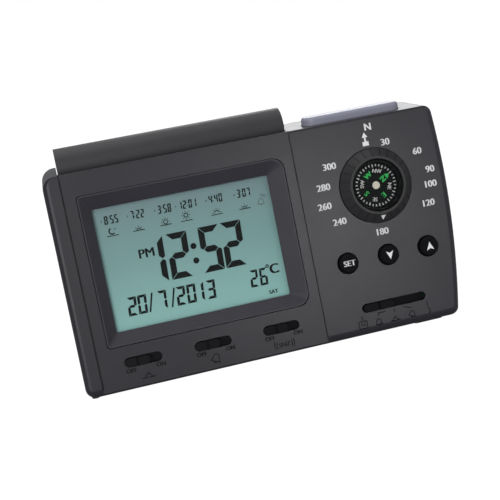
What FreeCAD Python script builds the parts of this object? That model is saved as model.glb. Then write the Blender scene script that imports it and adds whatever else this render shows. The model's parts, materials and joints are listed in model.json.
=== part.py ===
# Azan clock: a leaning desk clock with a display, prayer switches, a compass dial and a folding rear stand.
#
# Every piece is modelled in the panel frame, in millimetres: X to the right from the clock's left side,
# Y from the front panel into the clock, Z up along the panel from its lower edge. The finished pieces are
# then leaned back, so that the lower and upper faces of the case lie level.
import FreeCAD, Part
import math
import os
import re
import Sketcher
from FreeCAD import Placement, Rotation, Vector

doc = FreeCAD.newDocument("azan_clock")

# Driving sizes: name, value in millimetres or degrees, meaning
SIZES = [
    ("lean", "10.2", "how far the panel leans back, degrees"),
    ("case_width", "150.4", "width at the fullest point of the right side"),
    ("case_height", "82.2", "height of the front panel"),
    ("case_depth", "24", "front panel to rear face"),
    ("wall", "2", "wall of both shells"),
    ("side_radius", "305", "radius of the bulged right side"),
    ("side_height", "54", "height of the fullest point of the right side"),
    ("corner_left_top", "5", "outline corner radius"),
    ("corner_left_bottom", "4", "outline corner radius"),
    ("corner_right_top", "4", "outline corner radius"),
    ("corner_right_bottom", "3.5", "outline corner radius"),
    ("edge_top", "0.9", "rounding of the front edge, above"),
    ("edge_bottom", "3.2", "rounding of the front edge, below"),
    ("edge_left", "2.4", "rounding of the front edge, at the pillar"),
    ("edge_right", "2.6", "rounding of the front edge, at the bulged side"),
    ("edge_rear", "1.2", "rounding of the rear edge"),
    ("parting", "14", "depth of the seam between the shells"),
    ("pillar_width", "6", "left pillar, beside the display section"),
    ("pillar_skin", "1.8", "wall on the inner side of the pillar"),
    ("section_recess", "0.8", "display section behind the panel face"),
    ("section_skin", "1.8", "front wall of the display section"),
    ("nest_depth", "6", "depth of the recess that takes the stand"),
    ("section_wall", "1.8", "rear wall of the display section"),
    ("ceiling_gap", "2.6", "display glass to the ceiling of its space"),
    ("crease_width", "0.6", "groove beside the pillar"),
    ("crease_depth", "0.8", "groove beside the pillar"),
    ("hinge_depth", "11", "stand hinge axis behind the panel face"),
    ("hinge_drop", "1.2", "stand hinge axis below the top of the panel"),
    ("barrel_radius", "5", "round of the stand about its hinge axis"),
    ("barrel_gap", "0.4", "free space round the barrel"),
    ("head_radius", "7", "round head of the stand"),
    ("head_depth", "10.8", "centre of the head"),
    ("head_rise", "3.2", "centre of the head above the top of the panel"),
    ("head_slope", "40", "slope of the head down to the back, degrees"),
    ("trough_deep", "3.6", "floor in front of the head, below the top of the panel"),
    ("step_deep", "6", "display section behind the hinge, below the top of the panel"),
    ("leg_gap", "0.3", "stand to the case, front and below"),
    ("leg_side_gap", "0.35", "stand to the case at its ends"),
    ("leg_rear_gap", "0.2", "stand behind the rear face"),
    ("leg_foot", "5.4", "lower edge of the stand"),
    ("leg_cell_depth", "3.4", "hollows in the stand's inner face"),
    ("leg_rib", "3", "ribs between the hollows"),
    ("leg_frame", "6", "border round the hollows"),
    ("pin_radius", "1.5", "hinge pins"),
    ("pin_reach", "3.4", "length of a hinge pin in the case"),
    ("pin_hold", "6", "length of a hinge pin in the stand"),
    ("running_fit", "0.05", "radial clearance of a turning fit"),
    ("overlap", "0.1", "how far joined solids reach into each other"),
    ("past", "1", "how far a cut reaches beyond a face"),
    ("end_gap", "0.2", "free space at the end of a pin or screw"),
    ("bore_gap", "0.3", "free space at the end of a hinge bore"),
    ("screw_play", "0.1", "clearance round a screw that passes through"),
    ("drill_room", "0.5", "free space at the end of a case screw"),
    ("sunk", "0.5", "how far posts and ledges start inside a wall"),
    ("corner_least", "0.6", "least corner radius of an inset outline"),
    ("seat_fit", "0.02", "radial clearance of a seated pin or screw"),
    ("pad_height", "0.6", "how far a rubber pad stands out"),
    ("pad_seat", "0.6", "depth of a rubber pad's seat"),
    ("pad_fit", "0.1", "gap round a rubber pad"),
    ("leg_pad_width", "3", "rubber strip under the stand"),
    ("leg_pad_margin", "5", "strip from the stand's ends"),
    ("foot_width", "12", "right foot pad, across"),
    ("foot_pillar_width", "3", "left foot pad, under the pillar"),
    ("foot_front", "4", "front end of the foot pads"),
    ("foot_rear_gap", "1.4", "foot pads to the rear face"),
    ("foot_left", "3.2", "centre of the left foot pad"),
    ("foot_side", "16.4", "centre of the right foot pad from the right side"),
    ("bezel_margin_left", "5.05", "pillar to the display frame"),
    ("bezel_margin_right", "4.2", "display frame to the edge of its section"),
    ("bezel_bottom", "17.4", "display frame"),
    ("bezel_margin_top", "8.8", "display frame to the top of the panel"),
    ("bezel_corner_left", "1.2", "display frame, left corners"),
    ("bezel_corner_right", "4.6", "display frame, right corners"),
    ("bezel_gap", "0.3", "dark line round the display frame"),
    ("bezel_rim", "0.4", "flat rim before the slope"),
    ("bezel_flange", "0.7", "flange behind the front wall"),
    ("bezel_deep", "5.1", "depth of the display frame"),
    ("window_margin_left", "4.35", "slope of the display frame, left"),
    ("window_margin_right", "6.3", "slope of the display frame, right"),
    ("window_margin_bottom", "4.7", "slope of the display frame, below"),
    ("window_margin_top", "5.5", "slope of the display frame, above"),
    ("window_corner", "0.5", "display window corners"),
    ("window_depth", "3.5", "window behind the display section's face"),
    ("lens_margin", "1", "clear window beyond the opening"),
    ("lens_thick", "1.2", "clear window"),
    ("lens_fit", "0.1", "gap round the clear window"),
    ("glass_margin", "2.4", "display glass beyond the opening"),
    ("glass_thick", "2.2", "display glass, both plates"),
    ("light_thick", "3", "light guide"),
    ("guide_short", "0.4", "light guide inside the display glass"),
    ("strip_width", "1.8", "contact strip below the light guide"),
    ("strip_gap", "0.4", "contact strip to light guide"),
    ("board_thick", "1.6", "circuit boards"),
    ("board_inset", "2.4", "pillar to the main board"),
    ("board_past", "0.2", "main board beyond the display section"),
    ("board_bottom", "5", "main board"),
    ("board_gap", "0.4", "main board to the ceiling"),
    ("post_radius", "1.4", "posts that carry the boards"),
    ("post_shift", "13.2", "lower posts of the main board from a slot's centre"),
    ("post_low", "6", "height of the lower posts"),
    ("post_inset", "1.9", "right-hand posts of the main board"),
    ("post_side_low", "25", "right-hand posts of the main board"),
    ("post_drop", "4.9", "upper right-hand post below the ceiling"),
    ("tiny_screw", "0.7", "shank radius of the board screws"),
    ("tiny_head", "1.3", "head radius of the board screws"),
    ("tiny_head_thick", "0.9", "head of the board screws"),
    ("tiny_length", "4.5", "board screws under the head"),
    ("switch_row", "10.85", "height of the row of switch slots"),
    ("slot_inset_left", "3.55", "left slot, beyond half a pitch from the pillar"),
    ("slot_inset_right", "3.75", "right slot, beyond half a pitch from the section's edge"),
    ("slot_length", "14", "switch slots"),
    ("slot_height", "3.7", "switch slots"),
    ("knob_length", "9.4", "switch knobs"),
    ("knob_height", "3.1", "switch knobs"),
    ("knob_out", "0.9", "knobs in front of the display section's face"),
    ("knob_travel", "4.3", "off to on"),
    ("knob_groove", "0.9", "finger groove in the knobs"),
    ("knob_groove_depth", "1", "finger groove in the knobs"),
    ("knob_flange", "9.4", "half length of the sliding shield behind a slot"),
    ("knob_flange_height", "2.9", "half height of the shield"),
    ("shield_thick", "0.8", "sliding shields"),
    ("slide_gap", "0.2", "gap of the sliding and pressing pieces"),
    ("switch_length", "10", "slide switches on the board"),
    ("switch_height", "4.4", "slide switches on the board"),
    ("switch_thick", "3.6", "slide switches on the board"),
    ("lever_side", "1.6", "levers of the knobs"),
    ("function_side", "30.3", "centre of the long slot from the right side"),
    ("function_row", "10.95", "height of the long slot"),
    ("function_length", "25.8", "long slot"),
    ("function_height", "3.4", "long slot"),
    ("function_knob_length", "12.3", "knob in the long slot"),
    ("function_knob_height", "2.8", "knob in the long slot"),
    ("function_travel", "12.4", "first to last stop"),
    ("shield_short", "0.7", "how far its shield stops short of covering the slot's ends"),
    ("function_flange_height", "2.3", "half height of its shield"),
    ("function_switch_length", "24", "its switch on the key board"),
    ("function_switch_thick", "2", "its switch on the key board"),
    ("key_board_front", "6.8", "front face of the key board"),
    ("key_board_inset", "6.8", "section line to the key board"),
    ("key_board_side", "9.4", "key board from the right side"),
    ("key_board_bottom", "6.8", "key board"),
    ("key_board_top", "36.8", "key board"),
    ("key_post_high", "34.9", "upper posts of the key board"),
    ("key_post_low", "17.4", "lower posts of the key board"),
    ("key_post_high_spread", "8.1", "upper posts from the middle button"),
    ("key_post_low_spread", "16", "lower posts from the middle button"),
    ("button_row", "29.3", "height of the three buttons"),
    ("button_side", "29.1", "middle button from the right side"),
    ("button_pitch", "16.2", "button to button"),
    ("button_radius", "3.7", "button caps"),
    ("button_hole", "4.2", "holes for the caps"),
    ("button_out", "2.4", "caps in front of the panel"),
    ("button_round", "0.6", "edge of the caps"),
    ("button_flange", "4.9", "flange behind the panel"),
    ("button_flange_thick", "1", "flange behind the panel"),
    ("button_stem", "1.6", "stem of the caps"),
    ("button_travel", "1", "travel of the buttons"),
    ("keypad_half_height", "3.6", "rubber keypad"),
    ("keypad_margin", "5", "rubber keypad beyond the outer buttons"),
    ("keypad_sheet", "0.6", "rubber keypad"),
    ("keypad_dome", "2.8", "domes of the keypad"),
    ("dial_side", "28.9", "dial centre from the right side"),
    ("dial_drop", "26.1", "dial centre below the top of the panel"),
    ("dial_opening", "14.4", "opening for the dial"),
    ("dial_gap", "0.3", "gap round the dial"),
    ("dial_bore", "10", "inner radius of the ring"),
    ("dial_lip", "10.9", "outer radius of the ring's flat lip"),
    ("dial_out", "3.4", "lip in front of the panel"),
    ("dial_edge_out", "0.5", "outer edge in front of the panel"),
    ("dial_flange", "15.3", "flange of the ring behind the panel"),
    ("dial_flange_thick", "1.2", "flange of the ring"),
    ("dial_ticks", "24", "ticks round the ring"),
    ("tick_width", "0.5", "engraved ticks"),
    ("tick_depth", "0.35", "engraved ticks"),
    ("retainer_edge", "0.2", "plate beyond the posts that carry it"),
    ("retainer_thick", "1.2", "plate behind the dial"),
    ("retainer_gap", "0.3", "plate to the ring's flange"),
    ("post_gap", "0.5", "dial flange to the posts round it"),
    ("retainer_post", "1.9", "posts that carry the plate"),
    ("compass_gap", "0.3", "compass housing to the ring"),
    ("compass_floor", "1", "compass housing"),
    ("compass_wall", "0.9", "compass housing"),
    ("compass_out", "2.9", "front of the compass lens"),
    ("compass_lens_thick", "1.2", "compass lens"),
    ("lens_crown", "0.3", "crown of the lens"),
    ("lens_shoulder", "1.6", "crown to the lens's side"),
    ("lens_bevel", "0.3", "bevel of the lens"),
    ("lens_bevel_drop", "0.15", "bevel of the lens"),
    ("lens_side_drop", "0.5", "bevel of the lens"),
    ("card_radius", "8.2", "compass card"),
    ("card_thick", "0.4", "compass card"),
    ("card_depth", "0.4", "card in front of the panel"),
    ("card_hub", "1.5", "hub of the card"),
    ("pivot_radius", "0.5", "pivot of the card"),
    ("pivot_gap", "0.08", "pivot tip to the hub"),
    ("tip_rise", "0.6", "tip of the pivot behind the card"),
    ("tip_radius", "0.1", "tip of the pivot"),
    ("tip_length", "1", "tip of the pivot"),
    ("hub_out", "0.2", "hub in front of the card"),
    ("hub_skirt", "0.8", "hub round the pivot's tip"),
    ("socket_gap", "0.3", "hub's socket round the pivot"),
    ("needle_length", "11", "magnet under the card"),
    ("needle_width", "2.4", "magnet under the card"),
    ("needle_thick", "0.8", "magnet under the card"),
    ("needle_fit", "0.1", "magnet round the hub"),
    ("cheek_width", "0.8", "magnet beside the hub"),
    ("cheek_half", "2.4", "magnet beside the hub"),
    ("snooze_inset", "7.5", "section line to the top button"),
    ("snooze_side", "12", "top button from the right side"),
    ("snooze_front", "3.6", "top button"),
    ("snooze_rear", "12.2", "top button"),
    ("snooze_out", "3", "top button above the case"),
    ("snooze_gap", "0.4", "gap round the top button"),
    ("snooze_round", "1.3", "edge of the top button"),
    ("snooze_flange", "1.3", "flange under the top wall"),
    ("snooze_flange_thick", "1.2", "flange under the top wall"),
    ("snooze_travel", "1.2", "travel of the top button"),
    ("snooze_switch", "6", "push switch under the top button"),
    ("snooze_switch_height", "2.4", "push switch without its plunger"),
    ("snooze_plunger", "1.4", "radius of the plunger"),
    ("snooze_plunger_height", "0.8", "plunger"),
    ("snooze_board_inset", "8.8", "section line to the board under the top button"),
    ("snooze_board_side", "9.4", "board under the top button from the right side"),
    ("snooze_board_shift", "0.6", "that board behind the button's middle"),
    ("bracket_width", "4", "brackets under that board"),
    ("bracket_thick", "1.8", "brackets under that board"),
    ("speaker_z", "26.4", "speaker"),
    ("speaker_radius", "14", "speaker"),
    ("speaker_deep", "7", "speaker"),
    ("speaker_rim", "0.9", "rim of the speaker"),
    ("basket_mouth", "12.6", "speaker basket at its rim"),
    ("basket_foot", "1", "speaker basket beyond the magnet"),
    ("basket_eye", "2", "hole in the speaker basket"),
    ("basket_sheet", "0.5", "sheet of the speaker basket"),
    ("cone_margin", "2", "cone inside the speaker"),
    ("cone_lip", "0.6", "rim of the cone"),
    ("cone_deep", "2.4", "depth of the cone"),
    ("cone_thick", "0.3", "paper of the cone"),
    ("cap_radius", "5", "dust cap"),
    ("cap_rise", "0.6", "dust cap"),
    ("magnet_radius", "7", "speaker magnet"),
    ("magnet_thick", "2.6", "speaker magnet"),
    ("gasket_thick", "0.5", "felt ring of the speaker"),
    ("gasket_margin", "0.4", "felt ring round the sound slots"),
    ("cup_wall", "1.2", "ring rib round the speaker"),
    ("cup_gap", "0.3", "speaker to its ring rib"),
    ("cup_reach", "2.5", "ring rib in front of the speaker's face"),
    ("grille_radius", "11.5", "sound slots"),
    ("grille_edge", "1", "least half length of a sound slot, inside the circle"),
    ("grille_pitch", "3.6", "sound slots"),
    ("grille_width", "1.6", "sound slots"),
    ("cell_radius", "5.2", "battery cells"),
    ("cell_length", "43.5", "battery cells without the nub"),
    ("nub_radius", "1.9", "nub of a cell"),
    ("nub_length", "1", "nub of a cell"),
    ("cell_left", "7.9", "section line to the cells"),
    ("cell_right", "5.8", "cells to the right side"),
    ("cell_gap", "0.4", "cell to cell and to the walls"),
    ("cell_drop", "30.6", "lower cell below the top of the panel"),
    ("cell_rear", "7.8", "cell axes in front of the rear face"),
    ("bay_wall", "1.2", "walls of the battery bay"),
    ("bay_spring", "2.2", "room for the springs"),
    ("contact_thick", "0.3", "contact plates"),
    ("contact_side", "7", "contact plates"),
    ("spring_radius", "2.6", "battery springs"),
    ("spring_wire", "0.25", "battery springs"),
    ("spring_gap", "0.05", "spring to the contact plate and to its cell"),
    ("door_inset", "6.8", "section line to the battery cover"),
    ("door_side", "5", "battery cover from the right side"),
    ("door_reach", "7.6", "battery cover below the lower cell's axis"),
    ("door_thick", "1.6", "battery cover"),
    ("door_gap", "0.2", "battery cover to the case"),
    ("door_tongue", "0.8", "tongues at the cover's sides"),
    ("door_tongue_thick", "0.8", "tongues at the cover's sides"),
    ("door_travel", "30", "sliding travel of the battery cover"),
    ("grip_count", "4", "finger grooves in the battery cover"),
    ("grip_pitch", "1.8", "finger grooves"),
    ("grip_width", "0.8", "finger grooves"),
    ("grip_length", "14", "finger grooves"),
    ("grip_depth", "0.6", "finger grooves"),
    ("grip_start", "3", "first groove above the cover's lower edge"),
    ("ledge_thick", "1.4", "ledge under the battery cover"),
    ("screw_radius", "0.9", "case screws"),
    ("screw_head", "1.75", "case screws"),
    ("screw_head_thick", "1.4", "case screws"),
    ("screw_head_gap", "0.25", "free space round the heads"),
    ("cross_reach", "1.225", "half length of the cross slots"),
    ("cross_half", "0.2", "half width of the cross slots"),
    ("screw_sink", "6", "screw heads below the rear face"),
    ("screw_grip", "7", "case screws in the front shell"),
    ("boss_radius", "2.5", "screw bosses"),
    ("boss_left", "3.2", "screws in the pillar"),
    ("boss_pillar_low", "14", "screws in the pillar"),
    ("boss_pillar_drop", "20.2", "upper screw in the pillar"),
    ("boss_inset", "3.9", "section line to the screws beside it"),
    ("boss_inner_low", "18", "screws beside the display section"),
    ("boss_inner_middle", "40", "screws beside the display section"),
    ("boss_drop", "5.7", "upper screw beside the display section"),
    ("boss_side", "6.6", "screw at the right side"),
    ("chip_radius", "6", "sealed controller"),
    ("chip_thick", "1.4", "sealed controller"),
    ("chip_rise", "6", "controller above the board's middle"),
    ("resistor_first", "10", "first resistor from the board's left edge"),
    ("resistor_pitch", "6", "chip resistors"),
    ("resistor_length", "2", "chip resistors"),
    ("resistor_height", "1.2", "chip resistors"),
    ("resistor_thick", "0.6", "chip resistors"),
    ("resistor_row", "12", "chip resistors above the board's lower edge"),
    ("bead_left", "6", "thermistor from the board's left edge"),
    ("bead_low", "8", "thermistor above the board's lower edge"),
    ("memory_side", "9", "voice memory"),
    ("memory_thick", "1.5", "voice memory"),
    ("crystal_radius", "1", "timing crystal"),
    ("crystal_length", "6", "timing crystal"),
]

# Places that follow from the sizes
PLACES = [
    ("section_line", "case_width - cell_right - nub_length - cell_length - cell_left",
     "right edge of the display section"),
    ("section_back", "case_depth - nest_depth", "depth of the display section"),
    ("section_ceiling", "window_top + glass_margin + ceiling_gap",
     "top of the space inside the display section"),
    ("hinge_height", "case_height - hinge_drop", "stand hinge axis above the panel's lower edge"),
    ("head_height", "case_height + head_rise", "centre of the head"),
    ("trough_floor", "case_height - trough_deep", "floor in front of the head"),
    ("trough_step", "case_height - step_deep", "top of the display section behind the hinge"),
    ("foot_rear", "case_depth - foot_rear_gap", "rear end of the foot pads"),
    ("foot_right", "case_width - foot_side", "centre of the right foot pad"),
    ("bezel_left", "pillar_width + bezel_margin_left", "display frame"),
    ("bezel_right", "section_line - bezel_margin_right", "display frame"),
    ("bezel_top", "case_height - bezel_margin_top", "display frame"),
    ("window_left", "bezel_left + window_margin_left", "display window"),
    ("window_right", "bezel_right - window_margin_right", "display window"),
    ("window_bottom", "bezel_bottom + window_margin_bottom", "display window"),
    ("window_top", "bezel_top - window_margin_top", "display window"),
    ("board_left", "pillar_width + board_inset", "main board"),
    ("board_right", "section_line + board_past", "main board"),
    ("board_top", "section_ceiling - board_gap", "main board"),
    ("post_low_left", "slot_first + post_shift", "lower posts of the main board"),
    ("post_low_right", "post_low_left + slot_pitch", "lower posts of the main board"),
    ("post_side", "section_line - post_inset", "right-hand posts of the main board"),
    ("post_side_high", "section_ceiling - post_drop", "right-hand posts of the main board"),
    ("slot_first", "pillar_width + slot_pitch / 2 + slot_inset_left", "centre of the left slot"),
    ("slot_pitch", "(section_line - pillar_width - slot_inset_left - slot_inset_right) / 3",
     "slot to slot"),
    ("function_centre", "case_width - function_side", "long slot"),
    ("function_flange", "(function_length + function_travel) / 2 - shield_short",
     "half length of its shield"),
    ("key_board_left", "section_line + key_board_inset", "key board"),
    ("key_board_right", "case_width - key_board_side", "key board"),
    ("button_middle", "case_width - button_side", "middle button"),
    ("dial_x", "case_width - dial_side", "dial centre"),
    ("dial_z", "case_height - dial_drop", "dial centre"),
    ("retainer_screws", "dial_flange + retainer_post + post_gap", "radius of the plate's screws"),
    ("retainer_radius", "retainer_screws + retainer_post + retainer_edge", "plate behind the dial"),
    ("snooze_left", "section_line + snooze_inset", "top button"),
    ("snooze_right", "case_width - snooze_side", "top button"),
    ("snooze_board_left", "section_line + snooze_board_inset", "board under the top button"),
    ("snooze_board_right", "case_width - snooze_board_side", "board under the top button"),
    ("speaker_x", "dial_x", "speaker"),
    ("cell_start", "section_line + cell_left", "left end of the cells"),
    ("cell_low", "case_height - cell_drop", "height of the lower cell"),
    ("cell_depth", "case_depth - cell_rear", "depth of the cell axes"),
    ("door_left", "section_line + door_inset", "battery cover"),
    ("door_right", "case_width - door_side", "battery cover"),
    ("door_bottom", "cell_low - door_reach", "battery cover"),
    ("boss_pillar_high", "case_height - boss_pillar_drop", "screws in the pillar"),
    ("boss_inner", "section_line + boss_inset", "screws beside the display section"),
    ("boss_inner_high", "case_height - boss_drop", "screws beside the display section"),
    ("boss_outer", "case_width - boss_side", "screw at the right side"),
]

sheet = doc.addObject("Spreadsheet::Sheet", "sizes")
ROWS = SIZES + [(name, "=" + formula, meaning) for name, formula, meaning in PLACES]
for row, (name, content, meaning) in enumerate(ROWS, 1):
    sheet.set(f"A{row}", meaning)
    sheet.setAlias(f"B{row}", name)
for row, (name, content, meaning) in enumerate(ROWS, 1):
    sheet.set(f"B{row}", content)
doc.recompute()
NAMES = {name for name, content, meaning in ROWS}


# Expressions
def bound(text):
    """The same expression with every size read from the sheet."""
    return re.sub(r"[a-z][a-z_]*", lambda word: "sizes." * (word.group(0) in NAMES) + word.group(0), text)


def value(text):
    """The number that an expression gives now."""
    return float(sheet.evalExpression(bound(text)))


def bind(item, target, text):
    item.setExpression(target, bound(text))


# Depths and heights that several pieces share
SKIN_BACK = "section_recess + section_skin"
BEZEL_BACK = "section_recess + bezel_deep"
WINDOW_FRONT = "section_recess + window_depth"
GLASS_BACK = f"{BEZEL_BACK} + glass_thick"
BOARD_FRONT = f"{GLASS_BACK} + light_thick"
BOARD_BACK = f"{BOARD_FRONT} + board_thick"
KEY_BOARD_BACK = "key_board_front + board_thick"
RING_BACK = "wall + slide_gap + dial_flange_thick"
RETAINER_FRONT = f"{RING_BACK} + retainer_gap"
RETAINER_BACK = f"{RETAINER_FRONT} + retainer_thick"
INNER_BACK = "case_depth - wall"
SPEAKER_FACE = f"{INNER_BACK} - gasket_thick"
LEG_FRONT = "section_back + leg_gap"
LEG_REAR = "case_depth - leg_rear_gap"
LEG_LEFT = "pillar_width + leg_side_gap"
LEG_RIGHT = "section_line - leg_side_gap"
HIGH_CELL = "cell_low + 2 * cell_radius + cell_gap"
BAY_LEFT = "cell_start - bay_spring"
BAY_RIGHT = "cell_start + cell_length + nub_length + contact_thick + cell_gap"
BAY_LOW = "cell_low - cell_radius - cell_gap"
BAY_HIGH = f"{HIGH_CELL} + cell_radius + cell_gap"
BAY_FLOOR = "cell_depth - cell_radius - cell_gap"
DOOR_FRONT = "case_depth - door_thick"
BASKET_BACK = f"{SPEAKER_FACE} - speaker_deep + magnet_thick"
SPRING_ROOM = "bay_spring - contact_thick - 2 * spring_wire - 2 * spring_gap"
BEFORE = "0 - past"
FAR = "case_width + case_height"

# Counts and shares
RESISTORS = 8
LEG_COLUMNS = 3
SPRING_TURNS = 2.5
ROUND = 2.02  # a fully round end's height over its corner radius

lean = math.radians(value("lean"))
ACROSS = Rotation(Vector(0, 1, 0), 90)
INWARD = Rotation(Vector(1, 0, 0), -90)
LEANED = Placement(Vector(), Rotation(Vector(1, 0, 0), -value("lean")))
NODES = []


def node(item, label, place=Placement(), count=1):
    """Name a finished piece, lean it with the panel and keep it for the checks."""
    item.Label = label
    item.Placement = LEANED.multiply(place)
    NODES.append((item, count))
    return item


# Plain solids
def box(name, across, deep, up):
    """A box between two expressions on each axis."""
    solid = doc.addObject("Part::Box", name)
    for side, axis, (low, high) in (("Length", "x", across), ("Width", "y", deep), ("Height", "z", up)):
        bind(solid, side, f"({high}) - ({low})")
        bind(solid, f"Placement.Base.{axis}", low)
    return solid


def cylinder(name, radius, span, base, turn):
    """A cylinder from a base point along one axis."""
    solid = doc.addObject("Part::Cylinder", name)
    solid.Placement.Rotation = turn
    bind(solid, "Radius", radius)
    bind(solid, "Height", f"({span[1]}) - ({span[0]})")
    for axis, text in zip("xyz", base):
        bind(solid, f"Placement.Base.{axis}", text)
    return solid


def disc(name, x, z, radius, deep):
    """A cylinder square to the panel."""
    return cylinder(name, radius, deep, (x, deep[0], z), INWARD)


def rod(name, across, y, z, radius):
    """A cylinder along the width."""
    return cylinder(name, radius, across, (across[0], y, z), ACROSS)


def pin_up(name, x, y, radius, up):
    """A cylinder that stands upright in its frame."""
    return cylinder(name, radius, up, (x, y, up[0]), Rotation())


def joined(name, items):
    if len(items) == 1:
        return items[0]
    solid = doc.addObject("Part::MultiFuse", name)
    solid.Shapes = items
    solid.Refine = True
    return solid


def cut(name, base, tools):
    solid = doc.addObject("Part::Cut", name)
    solid.Base = base
    solid.Tool = joined(name + "_tools", tools)
    solid.Refine = True
    return solid


def common(name, first, second):
    solid = doc.addObject("Part::Common", name)
    solid.Base = first
    solid.Tool = second
    solid.Refine = True
    return solid


def alone(name, item):
    """The same solid with a placement of its own."""
    solid = doc.addObject("Part::Refine", name)
    solid.Source = item
    return solid


def filleted(name, base, radius, chosen):
    """Round the edges that a test picks."""
    doc.recompute()
    solid = doc.addObject("Part::Fillet", name)
    solid.Base = base
    size = value(radius)
    solid.Edges = [(k, size, size) for k, edge in enumerate(base.Shape.Edges, 1) if chosen(edge)]
    return solid


def front_rounding(base):
    """Round the front edges, each side by its own radius that changes evenly round the corners."""
    doc.recompute()

    def size_at(edge, parameter):
        point, way = edge.valueAt(parameter), edge.tangentAt(parameter)
        if abs(way.x) > abs(way.z):
            return value("edge_top") if point.z > value("case_height") / 2 else value("edge_bottom")
        return value("edge_left") if point.x < value("case_width") / 2 else value("edge_right")

    solid = doc.addObject("Part::Fillet", base.Name + "_rounded")
    solid.Base = base
    solid.Edges = [(k, size_at(edge, edge.FirstParameter), size_at(edge, edge.LastParameter))
                   for k, edge in enumerate(base.Shape.Edges, 1) if edge.BoundBox.YMax < 1e-6]
    return solid


# Sketches
def fix_point(sketch, geometry, end, point, texts):
    """Hold one sketch point at two expressions."""
    for kind, coordinate, text in zip(("DistanceX", "DistanceY"), point, texts):
        place = sketch.addConstraint(Sketcher.Constraint(kind, -1, 1, geometry, end, coordinate))
        label = f"{kind[-1].lower()}_{geometry}_{end}"
        sketch.renameConstraint(place, label)
        bind(sketch, f"Constraints.{label}", text)


def size_arc(sketch, geometry, text):
    place = sketch.addConstraint(Sketcher.Constraint("Radius", geometry, value(text)))
    sketch.renameConstraint(place, f"radius_{geometry}")
    bind(sketch, f"Constraints.radius_{geometry}", text)


def polygon(sketch, corners):
    """Closed straight outline whose corners are pairs of expressions."""
    points = [(value(u), value(v)) for u, v in corners]
    count = len(points)
    for k, point in enumerate(points):
        following = points[(k + 1) % count]
        sketch.addGeometry(Part.LineSegment(Vector(*point, 0), Vector(*following, 0)), False)
    for k in range(count):
        sketch.addConstraint(Sketcher.Constraint("Coincident", k, 2, (k + 1) % count, 1))
    for k, (point, texts) in enumerate(zip(points, corners)):
        fix_point(sketch, k, 1, point, texts)


def arc(sketch, centre, radius, start, end):
    circle = Part.Circle(Vector(*centre, 0), Vector(0, 0, 1), radius)
    sketch.addGeometry(Part.ArcOfCircle(circle, start, end), False)


def line(sketch, start, end):
    sketch.addGeometry(Part.LineSegment(Vector(*start, 0), Vector(*end, 0)), False)


def rounded(sketch, across, up, corners, bulge=None):
    """Rectangle with four corner radii, and if wanted a bulged right side.

    Corners are given as left bottom, right bottom, right top and left top.
    The bulge is the centre and the radius of the right side's arc.
    """
    x0, x1 = (value(text) for text in across)
    z0, z1 = (value(text) for text in up)
    low_left, low_right, high_right, high_left = (value(text) for text in corners)
    quarter = math.pi / 2
    right_low = (x1 - low_right, z0 + low_right)
    right_high = (x1 - high_right, z1 - high_right)
    turn_low, turn_high = 0.0, 0.0
    if bulge:
        centre = (value(bulge[0]), value(bulge[1]))
        radius = value(bulge[2])
        reach = math.sqrt((radius - low_right) ** 2 - (right_low[1] - centre[1]) ** 2)
        right_low = (centre[0] + reach, right_low[1])
        turn_low = math.atan2(right_low[1] - centre[1], reach)
        reach = math.sqrt((radius - high_right) ** 2 - (right_high[1] - centre[1]) ** 2)
        right_high = (centre[0] + reach, right_high[1])
        turn_high = math.atan2(right_high[1] - centre[1], reach)
    line(sketch, (x0 + low_left, z0), (right_low[0], z0))
    arc(sketch, right_low, low_right, -quarter, turn_low)
    if bulge:
        arc(sketch, centre, radius, turn_low, turn_high)
    else:
        line(sketch, (x1, right_low[1]), (x1, right_high[1]))
    arc(sketch, right_high, high_right, turn_high, quarter)
    line(sketch, (right_high[0], z1), (x0 + high_left, z1))
    arc(sketch, (x0 + high_left, z1 - high_left), high_left, quarter, 2 * quarter)
    line(sketch, (x0, z1 - high_left), (x0, z0 + low_left))
    arc(sketch, (x0 + low_left, z0 + low_left), low_left, 2 * quarter, 3 * quarter)
    for k in range(8):
        sketch.addConstraint(Sketcher.Constraint("Tangent", k, 2, (k + 1) % 8, 1))
    for k in (0, 4):
        sketch.addConstraint(Sketcher.Constraint("Horizontal", k))
    sketch.addConstraint(Sketcher.Constraint("Vertical", 6))
    sides = [("DistanceY", 0, 1, up[0]), ("DistanceY", 4, 1, up[1]), ("DistanceX", 6, 1, across[0])]
    if bulge:
        fix_point(sketch, 2, 3, centre, bulge[:2])
        size_arc(sketch, 2, bulge[2])
    else:
        sketch.addConstraint(Sketcher.Constraint("Vertical", 2))
        sides.append(("DistanceX", 2, 1, across[1]))
    for kind, geometry, end, text in sides:
        place = sketch.addConstraint(Sketcher.Constraint(kind, -1, 1, geometry, end, value(text)))
        sketch.renameConstraint(place, f"side_{geometry}")
        bind(sketch, f"Constraints.side_{geometry}", text)
    for geometry, text in zip((1, 3, 5, 7), (corners[1], corners[2], corners[3], corners[0])):
        size_arc(sketch, geometry, text)


def panel_sketch(name, depth, rise="0"):
    """A sketch parallel to the panel, at a depth."""
    sketch = doc.addObject("Sketcher::SketchObject", name)
    sketch.Placement.Rotation = Rotation(Vector(1, 0, 0), 90)
    bind(sketch, "Placement.Base.y", depth)
    bind(sketch, "Placement.Base.z", rise)
    return sketch


def extruded(name, sketch, length, way):
    solid = doc.addObject("Part::Extrusion", name)
    solid.Base = sketch
    solid.DirMode = "Custom"
    solid.Dir = way
    solid.Solid = True
    bind(solid, "LengthFwd", length)
    return solid


def rounded_plate(name, across, deep, up, corners):
    """A plate parallel to the panel with four corner radii."""
    sketch = panel_sketch(name + "_outline", deep[0])
    rounded(sketch, across, up, corners)
    return extruded(name, sketch, f"({deep[1]}) - ({deep[0]})", Vector(0, 1, 0))


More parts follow.
